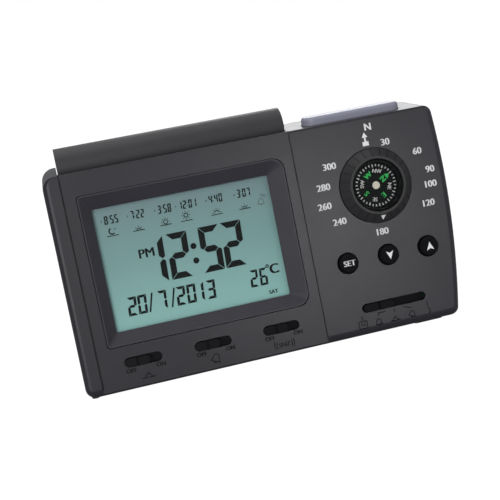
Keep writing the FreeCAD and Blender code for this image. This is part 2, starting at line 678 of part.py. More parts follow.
def stadium(name, x, z, length, height, deep):
    """A plate with fully round ends."""
    across = (f"{x} - ({length}) / 2", f"{x} + ({length}) / 2")
    up = (f"{z} - ({height}) / 2", f"{z} + ({height}) / 2")
    return rounded_plate(name, across, deep, up, [f"({height}) / {ROUND}"] * 4)


def case_prism(name, inset, deep):
    """The case's outline, inset by a wall, run level from one depth to another."""
    sketch = panel_sketch(name + "_outline", deep[0], f"({deep[0]}) * tan(lean)")
    across = (inset, f"case_width - ({inset})")
    up = (inset, f"case_height - ({inset})")
    corners = [f"max(corner_{place} - ({inset}); corner_least)"
               for place in ("left_bottom", "right_bottom", "right_top", "left_top")]
    bulge = ("case_width - side_radius", "side_height", f"side_radius - ({inset})")
    rounded(sketch, across, up, corners, bulge)
    level = Vector(0, math.cos(lean), math.sin(lean))
    return extruded(name, sketch, f"(({deep[1]}) - ({deep[0]})) / cos(lean)", level)


def turned(name, corners):
    """A body turned about its own Y axis from radius and depth pairs."""
    body = doc.addObject("PartDesign::Body", name)
    sketch = body.newObject("Sketcher::SketchObject", name + "_profile")
    sketch.AttachmentSupport = [(plane(body, "XY_Plane"), "")]
    sketch.MapMode = "FlatFace"
    polygon(sketch, corners)
    spin = body.newObject("PartDesign::Revolution", name + "_turn")
    spin.Profile = sketch
    spin.ReferenceAxis = (sketch, ["V_Axis"])
    spin.Angle = 360
    sketch.Visibility = False
    return body


def plane(body, role):
    return next(item for item in body.Origin.OriginFeatures if item.Role == role)


def at(x, z):
    """Place of a turned piece whose axis is square to the panel."""
    return Placement(Vector(value(x), 0, value(z)), Rotation())


def on_top(item):
    """Set a solid made in the level frame of the top face into the panel frame."""
    bind(item, "Placement.Base.z", "case_height")
    item.Placement.Rotation = Rotation(Vector(1, 0, 0), value("lean"))
    return item


LEVEL = Placement(Vector(0, 0, value("case_height")), Rotation(Vector(1, 0, 0), value("lean")))


def top_plate(name, across, deep, up, radius):
    """A rounded plate lying level, measured from the top front edge of the case."""
    sketch = doc.addObject("Sketcher::SketchObject", name + "_outline")
    bind(sketch, "Placement.Base.z", up[0])
    rounded(sketch, across, deep, [radius] * 4)
    return extruded(name, sketch, f"({up[1]}) - ({up[0]})", Vector(0, 0, 1))


# Places that repeat
SLOTS = [f"slot_first + {k} * slot_pitch" for k in range(3)]
BUTTONS = {"set": "button_middle - button_pitch", "down": "button_middle",
           "up": "button_middle + button_pitch"}
BOSSES = [
    ("boss_left", "boss_pillar_low"),
    ("boss_left", "boss_pillar_high"),
    ("boss_inner", "boss_inner_low"),
    ("boss_inner", "boss_inner_middle"),
    ("boss_inner", "boss_inner_high"),
    ("boss_outer", "boss_inner_low"),
]
MAIN_POSTS = [
    ("post_low_left", "post_low"),
    ("post_low_right", "post_low"),
    ("post_side", "post_side_low"),
    ("post_side", "post_side_high"),
]
KEY_POSTS = [(f"button_middle {sign} key_post_{row}_spread", f"key_post_{row}")
             for row in ("low", "high") for sign in ("-", "+")]
RETAINER_POSTS = [(f"dial_x + retainer_screws * cos({angle})", f"dial_z + retainer_screws * sin({angle})")
                  for angle in (30, 150, 270)]
CELLS = ["cell_low", HIGH_CELL]


# Shells
def trough(prefix):
    """Space above and behind the display section for the stand's head."""
    across = ("pillar_width", "section_line")
    return [
        rod(prefix + "_round", across, "hinge_depth", "hinge_height", "barrel_radius + barrel_gap"),
        box(prefix + "_front", across, (SKIN_BACK, "hinge_depth"), ("trough_floor", FAR)),
        box(prefix + "_rear", across, ("hinge_depth", FAR), ("trough_step", FAR)),
    ]


def front_case():
    block = front_rounding(case_prism("front_block", "0", ("0", "parting")))
    inner_side = "section_line + wall"
    hollow = case_prism("front_hollow", "wall", ("wall", "parting"))
    kept = [
        box("kept_pillar", (BEFORE, "pillar_width + pillar_skin"), ("0", FAR), (BEFORE, FAR)),
        box("kept_skin", (BEFORE, inner_side), ("0", SKIN_BACK), (BEFORE, FAR)),
        box("kept_ceiling", (BEFORE, inner_side), ("0", FAR), ("section_ceiling", FAR)),
    ]
    space = cut("front_space", hollow, kept)
    flange = "bezel_flange + bezel_gap"
    openings = [
        space,
        box("section_face", ("pillar_width", "section_line"), (BEFORE, "section_recess"), (BEFORE, FAR)),
        box("section_crease", ("pillar_width", "pillar_width + crease_width"),
            ("0", "section_recess + crease_depth"), ("edge_bottom", FAR)),
        box("bezel_pocket", (f"bezel_left - ({flange})", f"bezel_right + {flange}"),
            (SKIN_BACK, f"{BEZEL_BACK} + glass_thick"),
            (f"bezel_bottom - ({flange})", f"bezel_top + {flange}")),
        rounded_plate("bezel_opening", ("bezel_left - bezel_gap", "bezel_right + bezel_gap"),
                      ("0", f"{SKIN_BACK} + past"),
                      ("bezel_bottom - bezel_gap", "bezel_top + bezel_gap"),
                      ["bezel_corner_left", "bezel_corner_right", "bezel_corner_right",
                       "bezel_corner_left"]),
        stadium("function_slot", "function_centre", "function_row", "function_length", "function_height",
                (BEFORE, "wall + past")),
        disc("dial_hole", "dial_x", "dial_z", "dial_opening", (BEFORE, "wall + past")),
        on_top(top_plate("snooze_hole", ("snooze_left - snooze_gap", "snooze_right + snooze_gap"),
                         ("snooze_front - snooze_gap", "snooze_rear + snooze_gap"),
                         ("0 - wall - past", "wall"),
                         f"(snooze_rear - snooze_front) / {ROUND} + snooze_gap")),
        rod("pin_holes", ("pillar_width - pin_reach - end_gap", "section_line + pin_reach + end_gap"),
            "hinge_depth", "hinge_height", "pin_radius + seat_fit"),
    ]
    openings += trough("front_trough")
    openings += [on_top(block) for block in foot_blocks("front_seat", "pad_fit", "past")]
    openings += [stadium(f"slot_{k}", x, "switch_row", "slot_length", "slot_height",
                         ("0", f"{SKIN_BACK} + past"))
                 for k, x in enumerate(SLOTS)]
    openings += [disc(f"{name}_hole", x, "button_row", "button_hole", (BEFORE, "wall + past"))
                 for name, x in BUTTONS.items()]
    shell = cut("front_shell", block, openings)
    skin = "wall / 2"
    posts = [disc(f"front_boss_{k}", x, z, "boss_radius", (skin, "parting")) for k,
             (x, z) in enumerate(BOSSES[2:])]
    posts += [disc(f"main_post_{k}", x, z, "post_radius", ("section_recess + wall / 2", BOARD_FRONT))
              for k, (x, z) in enumerate(MAIN_POSTS)]
    posts += [disc(f"key_post_{k}", x, z, "retainer_post", (skin, "key_board_front"))
              for k, (x, z) in enumerate(KEY_POSTS)]
    posts += [disc(f"retainer_post_{k}", x, z, "retainer_post", (skin, RETAINER_FRONT))
              for k, (x, z) in enumerate(RETAINER_POSTS)]
    low = "0 - wall - snooze_flange_thick - snooze_travel - 2 * slide_gap"
    floor = f"{low} - snooze_plunger_height - snooze_switch_height - board_thick"
    ends = ("snooze_board_left", "snooze_board_right - bracket_width")
    posts += [on_top(alone(f"bracket_{k}",
                           box(f"bracket_bar_{k}", (x, f"{x} + bracket_width"), ("0", "snooze_rear"),
                                               (f"{floor} - bracket_thick", floor)))) for k,
              x in enumerate(ends)]
    ledge = box("board_ledge", ("pillar_width + pillar_skin - sunk", "board_left + past"),
                (SKIN_BACK, BOARD_FRONT),
                ("section_ceiling / 2 - boss_radius", "section_ceiling / 2 + boss_radius"))
    solid = joined("front_filled", [shell, ledge] + posts)
    drills = [disc(f"front_drill_{k}", x, z, "screw_radius + seat_fit",
                   ("parting - screw_grip - drill_room", "parting + past"))
              for k, (x, z) in enumerate(BOSSES)]
    for prefix, places, back in (("main", MAIN_POSTS, BOARD_BACK), ("key", KEY_POSTS, KEY_BOARD_BACK),
                                 ("retainer", RETAINER_POSTS, RETAINER_BACK)):
        drills += [disc(f"{prefix}_drill_{k}", x, z, "tiny_screw + seat_fit",
                        (f"{back} - tiny_length - end_gap", back))
                   for k, (x, z) in enumerate(places)]
    node(cut("front_case", solid, drills), "front_case")


def rear_case():
    block = filleted("rear_block_rounded", case_prism("rear_block", "0", ("parting", "case_depth")),
                     "edge_rear",
                     lambda edge: edge.BoundBox.YMin > value("case_depth") - 1e-6)
    inner_side = "section_line + wall"
    hollow = case_prism("rear_hollow", "wall", ("parting", INNER_BACK))
    kept = [
        box("rear_kept_pillar", (BEFORE, "pillar_width + pillar_skin"), ("0", FAR), (BEFORE, FAR)),
        box("rear_kept_back", (BEFORE, inner_side), ("section_back - section_wall", FAR), (BEFORE, FAR)),
        box("rear_kept_ceiling", (BEFORE, inner_side), ("0", FAR), ("section_ceiling", FAR)),
    ]
    openings = [
        cut("rear_space", hollow, kept),
        box("nest", ("pillar_width", "section_line"), ("section_back", FAR), (BEFORE, FAR)),
    ]
    shell = cut("rear_shell", block, openings + trough("rear_trough"))
    ledge = common("cover_ledge", block, box("cover_ledge_block",
                   (f"{BAY_LEFT} - bay_wall", "door_right + door_tongue + bay_wall"),
                   (f"{DOOR_FRONT} - door_gap - ledge_thick", "case_depth"),
                   (f"{BAY_LOW} - bay_wall", FAR)))
    bay = box("bay_block", (f"{BAY_LEFT} - bay_wall", f"{BAY_RIGHT} + bay_wall"),
              (f"{BAY_FLOOR} - bay_wall", INNER_BACK), (f"{BAY_LOW} - bay_wall", f"{BAY_HIGH} + bay_wall"))
    cup = cut("speaker_cup",
              disc("cup_outer", "speaker_x", "speaker_z", "speaker_radius + cup_gap + cup_wall",
                                  (f"{SPEAKER_FACE} - cup_reach", f"{INNER_BACK} + sunk")),
              [disc("cup_inner", "speaker_x", "speaker_z", "speaker_radius + cup_gap",
                    (f"{SPEAKER_FACE} - cup_reach - sunk", f"{INNER_BACK} + past"))])
    posts = [disc(f"rear_boss_{k}", x, z, "boss_radius", ("parting", f"{INNER_BACK} + sunk"))
             for k, (x, z) in enumerate(BOSSES[2:])]
    solid = joined("rear_filled", [shell, ledge, bay, cup] + posts)
    tools = [disc(f"rear_sink_{k}", x, z, "screw_head + screw_head_gap", ("case_depth - screw_sink", FAR))
             for k, (x, z) in enumerate(BOSSES)]
    tools += [disc(f"rear_drill_{k}", x, z, "screw_radius + screw_play",
                   ("parting - past", "case_depth - screw_sink + past"))
              for k, (x, z) in enumerate(BOSSES)]
    edge = "door_tongue + door_gap"
    tools += [
        box("cover_recess", ("door_left - door_gap", "door_right + door_gap"),
            (f"{DOOR_FRONT} - door_gap", FAR),
            ("door_bottom - door_gap", FAR)),
        box("cover_grooves", (f"door_left - ({edge})", f"door_right + {edge}"),
            (f"{DOOR_FRONT} - door_gap", f"{DOOR_FRONT} + door_tongue_thick + door_gap"),
            ("door_bottom - door_gap", FAR)),
        box("bay_space", (BAY_LEFT, BAY_RIGHT), (BAY_FLOOR, f"{DOOR_FRONT} - door_gap - ledge_thick"),
            (BAY_LOW, BAY_HIGH)),
        box("bay_mouth", ("cell_start - cell_gap", "cell_start + cell_length + nub_length + cell_gap"),
            (BAY_FLOOR, FAR), (BAY_LOW, BAY_HIGH)),
    ]
    tools += grille()
    tools += [on_top(block) for block in foot_blocks("rear_seat", "pad_fit", "past")]
    node(cut("rear_case", solid, tools), "rear_case")


def grille():
    """Sound slots whose lengths follow a circle."""
    half = int((value("grille_radius") - value("grille_edge")) / value("grille_pitch"))
    slots = []
    for k in range(-half, half + 1):
        length = f"2 * sqrt(grille_radius^2 - ({k} * grille_pitch)^2)"
        up = (f"speaker_z - ({length}) / 2", f"speaker_z + ({length}) / 2")
        x = f"speaker_x + ({k}) * grille_pitch"
        across = (f"{x} - grille_width / 2", f"{x} + grille_width / 2")
        slots.append(rounded_plate(f"sound_slot_{k + half}", across,
                                   (f"{INNER_BACK} - sunk", "case_depth + past"),
                                   up, [f"grille_width / {ROUND}"] * 4))
    return slots


def battery_cover():
    plate = [
        box("cover_plate", ("door_left", "door_right"), (DOOR_FRONT, "case_depth"), ("door_bottom", FAR)),
        box("cover_tongues", ("door_left - door_tongue", "door_right + door_tongue"),
            (DOOR_FRONT, f"{DOOR_FRONT} + door_tongue_thick"), ("door_bottom", FAR)),
    ]
    solid = common("cover_whole", doc.getObject("rear_block_rounded"), joined("cover_blank", plate))
    middle = "(door_left + door_right) / 2"
    grooves = [box(f"grip_{k}", (f"{middle} - grip_length / 2", f"{middle} + grip_length / 2"),
                   ("case_depth - grip_depth", "case_depth + past"),
                   (f"door_bottom + grip_start + {k} * grip_pitch",
                    f"door_bottom + grip_start + {k} * grip_pitch + grip_width"))
               for k in range(int(value("grip_count")))]
    node(cut("battery_cover", solid, grooves), "battery_cover")


def case_screws():
    """Screws driven from the rear, all alike."""
    seat = "case_depth - screw_sink"
    screws = []
    for k, (x, z) in enumerate(BOSSES):
        head = disc(f"screw_head_{k}", x, z, "screw_head", (seat, f"{seat} + screw_head_thick"))
        shank = disc(f"screw_shank_{k}", x, z, "screw_radius",
                     ("parting - screw_grip", f"{seat} + overlap"))
        slot = [box(f"screw_slot_{way}_{k}", (f"{x} - {along}", f"{x} + {along}"),
                    (f"{seat} + screw_head_thick / 2", FAR), (f"{z} - {other}", f"{z} + {other}"))
                for way, along,
                other in (("level", "cross_reach", "cross_half"), ("upright", "cross_half", "cross_reach"))]
        screws.append(cut(f"case_screw_{k}", joined(f"screw_blank_{k}", [head, shank]), slot))
    node(joined("case_screws", screws), "case_screws", count=len(BOSSES))


def tiny_screws(label, places, back):
    """Small screws that hold one board or plate."""
    screws = []
    for k, (x, z) in enumerate(places):
        head = disc(f"{label}_head_{k}", x, z, "tiny_head", (back, f"{back} + tiny_head_thick"))
        shank = disc(f"{label}_shank_{k}", x, z, "tiny_screw",
                     (f"{back} - tiny_length", f"{back} + overlap"))
        screws.append(joined(f"{label}_{k}", [head, shank]))
    node(joined(label, screws), label, count=len(places))


def foot_blocks(name, margin, out):
    """Level blocks under the pillar and the right-hand section, measured from the top front edge."""
    up = (f"0 - case_height * cos(lean) - ({out})", f"0 - case_height * cos(lean) + pad_seat")
    deep = (f"foot_front - ({margin}) - case_height * sin(lean)",
            f"foot_rear + {margin} - case_height * sin(lean)")
    blocks = []
    for side, x, width in (("left", "foot_left", "foot_pillar_width"),
                           ("right", "foot_right", "foot_width")):
        across = (f"{x} - ({width}) / 2 - ({margin})", f"{x} + ({width}) / 2 + {margin}")
        corner = f"min(foot_width; foot_pillar_width) / {ROUND} + {margin}"
        blocks.append(top_plate(f"{name}_{side}", across, deep, up, corner))
    return blocks


def foot_pads():
    """Rubber pads that the clock stands on, level with the table."""
    node(joined("foot_pads", foot_blocks("foot", "0", "pad_height")), "foot_pads", LEVEL, count=2)


# Stand
def stand():
    across = (LEG_LEFT, LEG_RIGHT)
    turn_y = "head_depth + head_radius * sin(head_slope)"
    turn_z = "head_height + head_radius * cos(head_slope)"
    low_web = "trough_step + leg_gap"
    sketch = doc.addObject("Sketcher::SketchObject", "leg_profile")
    sketch.Placement.Rotation = Rotation(Vector(1, 1, 1), 120)
    bind(sketch, "Placement.Base.x", LEG_LEFT)
    polygon(sketch, [
        (LEG_FRONT, "leg_foot"),
        (LEG_REAR, "leg_foot"),
        (LEG_REAR, f"{turn_z} - ({LEG_REAR} - ({turn_y})) * tan(head_slope)"),
        (turn_y, turn_z),
        ("head_depth", "head_height"),
        ("hinge_depth", low_web),
        (LEG_FRONT, low_web),
    ])
    web = extruded("leg_web", sketch, f"{LEG_RIGHT} - ({LEG_LEFT})", Vector(1, 0, 0))
    blank = joined("leg_blank", [
        web,
        rod("leg_head", across, "head_depth", "head_height", "head_radius"),
        rod("leg_barrel", across, "hinge_depth", "hinge_height", "barrel_radius"),
    ])
    clear = [
        rod("leg_bore_left", (f"{LEG_LEFT} - past", f"{LEG_LEFT} + pin_hold + bore_gap"), "hinge_depth",
            "hinge_height",
            "pin_radius + running_fit"),
        rod("leg_bore_right", (f"{LEG_RIGHT} - pin_hold - bore_gap", f"{LEG_RIGHT} + past"), "hinge_depth",
            "hinge_height",
            "pin_radius + running_fit"),
        pad_slot(),
    ]
    width = f"({LEG_RIGHT} - ({LEG_LEFT}) - 2 * leg_frame - {LEG_COLUMNS - 1} * leg_rib) / {LEG_COLUMNS}"
    for k in range(LEG_COLUMNS):
        start = f"{LEG_LEFT} + leg_frame + {k} * ({width} + leg_rib)"
        clear.append(box(f"leg_cell_{k}", (start, f"{start} + {width}"),
                         (f"{LEG_FRONT} - past", f"{LEG_FRONT} + leg_cell_depth"),
                         ("leg_foot + leg_frame", "trough_step - leg_frame")))
    node(cut("stand_leg", blank, clear), "stand_leg")


def pad_slot():
    middle = f"({LEG_FRONT} + {LEG_REAR}) / 2"
    return box("leg_pad_slot",
               (f"{LEG_LEFT} + leg_pad_margin - pad_fit", f"{LEG_RIGHT} - leg_pad_margin + pad_fit"),
               (f"{middle} - leg_pad_width / 2 - pad_fit", f"{middle} + leg_pad_width / 2 + pad_fit"),
               ("leg_foot - past", "leg_foot + pad_seat"))


def stand_pad():
    middle = f"({LEG_FRONT} + {LEG_REAR}) / 2"
    strip = box("stand_strip", (f"{LEG_LEFT} + leg_pad_margin", f"{LEG_RIGHT} - leg_pad_margin"),
                (f"{middle} - leg_pad_width / 2", f"{middle} + leg_pad_width / 2"),
                ("leg_foot - pad_height", "leg_foot + pad_seat"))
    node(alone("stand_pad", strip), "stand_pad")


def stand_pins():
    pins = [
        rod("pin_left", ("pillar_width - pin_reach", f"{LEG_LEFT} + pin_hold"), "hinge_depth",
            "hinge_height", "pin_radius"),
        rod("pin_right", (f"{LEG_RIGHT} - pin_hold", "section_line + pin_reach"), "hinge_depth",
            "hinge_height", "pin_radius"),
    ]
    node(joined("stand_pins", pins), "stand_pins", count=2)


# Display
def display_frame():
    corners = ["bezel_corner_left", "bezel_corner_right", "bezel_corner_right", "bezel_corner_left"]
    front = rounded_plate("bezel_front", ("bezel_left", "bezel_right"),
                          ("section_recess", f"{SKIN_BACK} + overlap"),
                          ("bezel_bottom", "bezel_top"), corners)
    back = box("bezel_back", ("bezel_left - bezel_flange", "bezel_right + bezel_flange"),
               (SKIN_BACK, BEZEL_BACK),
               ("bezel_bottom - bezel_flange", "bezel_top + bezel_flange"))
    mouth_front = panel_sketch("mouth_front", "section_recess - 0.01")
    rounded(mouth_front, ("bezel_left + bezel_rim", "bezel_right - bezel_rim"),
            ("bezel_bottom + bezel_rim", "bezel_top - bezel_rim"),
            [f"{text} - bezel_rim" for text in corners])
    mouth_back = panel_sketch("mouth_back", WINDOW_FRONT)
    rounded(mouth_back, ("window_left", "window_right"), ("window_bottom", "window_top"),
            ["window_corner"] * 4)
    mouth = doc.addObject("Part::Loft", "bezel_mouth")
    mouth.Sections = [mouth_front, mouth_back]
    mouth.Solid = True
    mouth.Ruled = True
    window = rounded_plate("bezel_window", ("window_left", "window_right"),
                           (f"{WINDOW_FRONT} - sunk", f"{BEZEL_BACK} + past"),
                           ("window_bottom", "window_top"), ["window_corner"] * 4)
    margin = "lens_margin + lens_fit"
    rebate = box("lens_rebate", (f"window_left - ({margin})", f"window_right + {margin}"),
                 (WINDOW_FRONT, f"{BEZEL_BACK} + past"),
                 (f"window_bottom - ({margin})", f"window_top + {margin}"))
    node(cut("display_frame", joined("bezel_blank", [front, back]), [mouth, window, rebate]),
         "display_frame")


def window_plate(label, margin, deep, bottom="0"):
    """A plate behind the display window, wider than it by a margin."""
    plate = box(label + "_plate", (f"window_left - ({margin})", f"window_right + {margin}"), deep,
                (f"window_bottom - ({margin}) + {bottom}", f"window_top + {margin}"))
    node(alone(label, plate), label)


def display_strip():
    low = "window_bottom - glass_margin"
    strip = box("strip_box", ("window_left", "window_right"), (GLASS_BACK, BOARD_FRONT),
                (low, f"{low} + strip_width"))
    node(alone("contact_strip", strip), "contact_strip")


def main_board():
    blank = box("main_blank", ("board_left", "board_right"), (BOARD_FRONT, BOARD_BACK),
                ("board_bottom", "board_top"))
    holes = [disc(f"main_hole_{k}", x, z, "tiny_screw + screw_play",
                  (f"{BOARD_FRONT} - past", f"{BOARD_BACK} + past"))
             for k, (x, z) in enumerate(MAIN_POSTS)]
    node(cut("main_board", blank, holes), "main_board")
    tiny_screws("board_screws", MAIN_POSTS, BOARD_BACK)


def board_parts():
    """Parts soldered behind the main board."""
    back = BOARD_BACK
    node(alone("controller_chip",
               disc("chip_disc", "section_line / 2", "section_ceiling / 2 + chip_rise", "chip_radius",
                                       (back, f"{back} + chip_thick"))), "controller_chip")
    memory = box("memory_box", ("section_line * 0.72", "section_line * 0.72 + memory_side"),
                 (back, f"{back} + memory_thick"),
                 ("section_ceiling / 2", "section_ceiling / 2 + memory_side"))
    node(alone("voice_memory", memory), "voice_memory")
    can = rod("crystal_can", ("section_line / 4", "section_line / 4 + crystal_length"),
              f"{back} + crystal_radius",
              "section_ceiling / 2", "crystal_radius")
    node(alone("timing_crystal", can), "timing_crystal")
    first = "board_left + resistor_first"
    small = [box(f"resistor_{k}",
                 (f"{first} + {k} * resistor_pitch", f"{first} + {k} * resistor_pitch + resistor_length"),
                 (back, f"{back} + resistor_thick"),
                 ("board_bottom + resistor_row", "board_bottom + resistor_row + resistor_height"))
             for k in range(RESISTORS)]
    node(joined("chip_resistors", small), "chip_resistors", count=RESISTORS)
    bead = disc("bead_disc", "board_left + bead_left", "board_bottom + bead_low", "crystal_radius",
                (back, f"{back} + chip_thick"))
    node(alone("thermistor", bead), "thermistor")


def slide_switches():
    bodies = [box(f"switch_{k}", (f"{x} - switch_length / 2", f"{x} + switch_length / 2"),
                  (f"{BOARD_FRONT} - switch_thick", BOARD_FRONT),
                  ("switch_row - switch_height / 2", "switch_row + switch_height / 2"))
              for k, x in enumerate(SLOTS)]
    node(joined("slide_switches", bodies), "slide_switches", count=3)


def knob(label, x, z, face, skin, length, height, shield, reach):
    """A sliding knob: grooved grip, shield behind the slot and lever to its switch."""
    grip = stadium(f"{label}_grip", x, z, length, height,
                   (f"{face} - knob_out", f"{skin} + slide_gap + overlap"))
    groove = box(f"{label}_groove", (f"{x} - knob_groove / 2", f"{x} + knob_groove / 2"),
                 (f"{face} - knob_out - past", f"{face} - knob_out + knob_groove_depth"),
                 (f"{z} - {height}", f"{z} + {height}"))
    plate = box(f"{label}_shield", (f"{x} - {shield[0]}", f"{x} + {shield[0]}"),
                (f"{skin} + slide_gap", f"{skin} + slide_gap + shield_thick"),
                (f"{z} - {shield[1]}", f"{z} + {shield[1]}"))
    lever = box(f"{label}_lever", (f"{x} - lever_side / 2", f"{x} + lever_side / 2"),
                (f"{skin} + slide_gap", reach),
                (f"{z} - lever_side / 2", f"{z} + lever_side / 2"))
    node(joined(label, [cut(f"{label}_grooved", grip, [groove]), plate, lever]), label)


def knobs():
    for name, x in zip(("azan_knob", "alarm_knob", "snooze_knob"), SLOTS):
        knob(name, f"({x} - knob_travel / 2)", "switch_row", "section_recess", SKIN_BACK, "knob_length",
             "knob_height",
             ("knob_flange", "knob_flange_height"), f"{BOARD_FRONT} - switch_thick - slide_gap")
    knob("function_knob", "(function_centre - function_travel / 2)", "function_row", "0", "wall",
         "function_knob_length",
         "function_knob_height", ("function_flange", "function_flange_height"),
         "key_board_front - 3 * slide_gap - function_switch_thick")


# Key board
def key_board():
    blank = box("key_blank", ("key_board_left", "key_board_right"), ("key_board_front", KEY_BOARD_BACK),
                ("key_board_bottom", "key_board_top"))
    holes = [disc(f"key_hole_{k}", x, z, "tiny_screw + screw_play",
                  ("key_board_front - past", f"{KEY_BOARD_BACK} + past"))
             for k, (x, z) in enumerate(KEY_POSTS)]
    node(cut("key_board", blank, holes), "key_board")
    tiny_screws("key_screws", KEY_POSTS, KEY_BOARD_BACK)
    body = box("function_body",
               ("function_centre - function_switch_length / 2",
                "function_centre + function_switch_length / 2"),
               ("key_board_front - function_switch_thick - slide_gap", "key_board_front"),
               ("function_row - switch_height / 2", "function_row + switch_height / 2"))
    node(alone("function_switch", body), "function_switch")


def keypad():
    sheet_front = "key_board_front - keypad_sheet"
    sheet_box = box("keypad_box",
                    ("button_middle - button_pitch - keypad_margin",
                     "button_middle + button_pitch + keypad_margin"),
                    (sheet_front, "key_board_front"),
                    ("button_row - keypad_half_height", "button_row + keypad_half_height"))
    domes = [disc(f"dome_{name}", x, "button_row", "keypad_dome",
                  (f"{sheet_front} - keypad_sheet", sheet_front))
             for name, x in BUTTONS.items()]
    node(joined("keypad", [sheet_box] + domes), "keypad")


def buttons():
    flange = "wall + slide_gap / 2"
    stem_end = "key_board_front - 2 * keypad_sheet - button_travel - slide_gap"
    for name, x in BUTTONS.items():
        body = turned(f"{name}_button", [
            ("0", "0 - button_out"),
            ("button_radius - button_round", "0 - button_out"),
            ("button_radius", "button_round - button_out"),
            ("button_radius", flange),
            ("button_flange", flange),
            ("button_flange", f"{flange} + button_flange_thick"),
            ("button_stem", f"{flange} + button_flange_thick"),
            ("button_stem", stem_end),
            ("0", stem_end),
        ])
        node(body, f"{name}_button", at(x, "button_row"))


# Dial and compass
def dial_ring():
    front = "wall + slide_gap"
    ring = turned("dial_ring", [
        ("dial_bore", "0 - dial_out"),
        ("dial_lip", "0 - dial_out"),
        ("dial_opening - dial_gap", "0 - dial_edge_out"),
        ("dial_opening - dial_gap", front),
        ("dial_flange", front),
        ("dial_flange", RING_BACK),
        ("dial_bore", RING_BACK),
    ])
    fall = "(dial_out - dial_edge_out) / (dial_opening - dial_gap - dial_lip)"
    sketch = ring.newObject("Sketcher::SketchObject", "tick_profile")
    sketch.AttachmentSupport = [(plane(ring, "XY_Plane"), "")]
    sketch.MapMode = "FlatFace"
    polygon(sketch, [
        ("dial_lip", "0 - dial_out - past"),
        ("dial_opening", "0 - dial_out - past"),
        ("dial_opening", f"tick_depth - dial_out + (dial_opening - dial_lip) * ({fall})"),
        ("dial_lip", "tick_depth - dial_out"),
    ])
    tick = ring.newObject("PartDesign::Pocket", "tick")
    tick.Profile = sketch
    tick.Midplane = True
    bind(tick, "Length", "tick_width")
    doc.recompute()
    ticks = ring.newObject("PartDesign::PolarPattern", "ticks")
    ticks.Originals = [tick]
    ticks.Axis = (plane(ring, "Y_Axis"), [""])
    ticks.Angle = 360
    bind(ticks, "Occurrences", "dial_ticks")
    ring.Tip = ticks
    sketch.Visibility = False
    node(ring, "dial_ring", at("dial_x", "dial_z"))


def dial_retainer():
    blank = disc("retainer_disc", "dial_x", "dial_z", "retainer_radius", (RETAINER_FRONT, RETAINER_BACK))
    holes = [disc(f"retainer_hole_{k}", x, z, "tiny_screw + screw_play",
                  (f"{RETAINER_FRONT} - past", f"{RETAINER_BACK} + past"))
             for k, (x, z) in enumerate(RETAINER_POSTS)]
    node(cut("dial_retainer", blank, holes), "dial_retainer")
    tiny_screws("dial_screws", RETAINER_POSTS, RETAINER_BACK)


def compass():
    outer = "dial_bore - compass_gap"
    inner = f"{outer} - compass_wall"
    rim = "compass_lens_thick - compass_out"
    floor_top = f"{RETAINER_FRONT} - compass_floor"
    housing = turned("compass_base", [
        ("pivot_radius + seat_fit", RETAINER_FRONT),
        (outer, RETAINER_FRONT),
        (outer, rim),
        (inner, rim),
        (inner, floor_top),
        ("pivot_radius + seat_fit", floor_top),
    ])
    node(housing, "compass_base", at("dial_x", "dial_z"))
    lens = turned("compass_lens", [
        ("0", "0 - compass_out - lens_crown"),
        (f"{outer} - lens_shoulder", "0 - compass_out"),
        (f"{outer} - lens_bevel", "0 - compass_out + lens_bevel_drop"),
        (outer, "0 - compass_out + lens_side_drop"),
        (outer, rim),
        ("0", rim),
    ])
    node(lens, "compass_lens", at("dial_x", "dial_z"))
    tip = "0 - card_depth + card_thick + tip_rise"
    pivot = turned("compass_pivot", [
        ("0", tip),
        ("tip_radius", tip),
        ("pivot_radius", f"{tip} + tip_length"),
        ("pivot_radius", RETAINER_FRONT),
        ("0", RETAINER_FRONT),
    ])
    node(pivot, "compass_pivot", at("dial_x", "dial_z"))
    hub = turned("compass_card", [
        ("0", "0 - card_depth - hub_out"),
        ("card_hub", "0 - card_depth - hub_out"),
        ("card_hub", "0 - card_depth"),
        ("card_radius", "0 - card_depth"),
        ("card_radius", "card_thick - card_depth"),
        ("card_hub", "card_thick - card_depth"),
        ("card_hub", f"{tip} + hub_skirt"),
        ("pivot_radius + pivot_gap + socket_gap", f"{tip} + hub_skirt"),
        ("pivot_gap + socket_gap", f"{tip} - pivot_gap"),
        ("0", f"{tip} - pivot_gap"),
    ])
    node(hub, "compass_card", at("dial_x", "dial_z"))
    bar = box("needle_bar", ("dial_x - needle_width / 2", "dial_x + needle_width / 2"),
              ("card_thick - card_depth", "card_thick - card_depth + needle_thick"),
              ("dial_z - needle_length / 2", "dial_z + needle_length / 2"))
    eye = disc("needle_eye", "dial_x", "dial_z", "card_hub + needle_fit", ("0 - dial_out", "wall"))
    side = "needle_width / 2 + cheek_width"
    cheeks = box("needle_wide", (f"dial_x - ({side})", f"dial_x + {side}"),
                 ("card_thick - card_depth", "card_thick - card_depth + needle_thick"),
                 ("dial_z - cheek_half", "dial_z + cheek_half"))
    node(cut("compass_magnet", joined("needle_blank", [bar, cheeks]), [eye]), "compass_magnet")


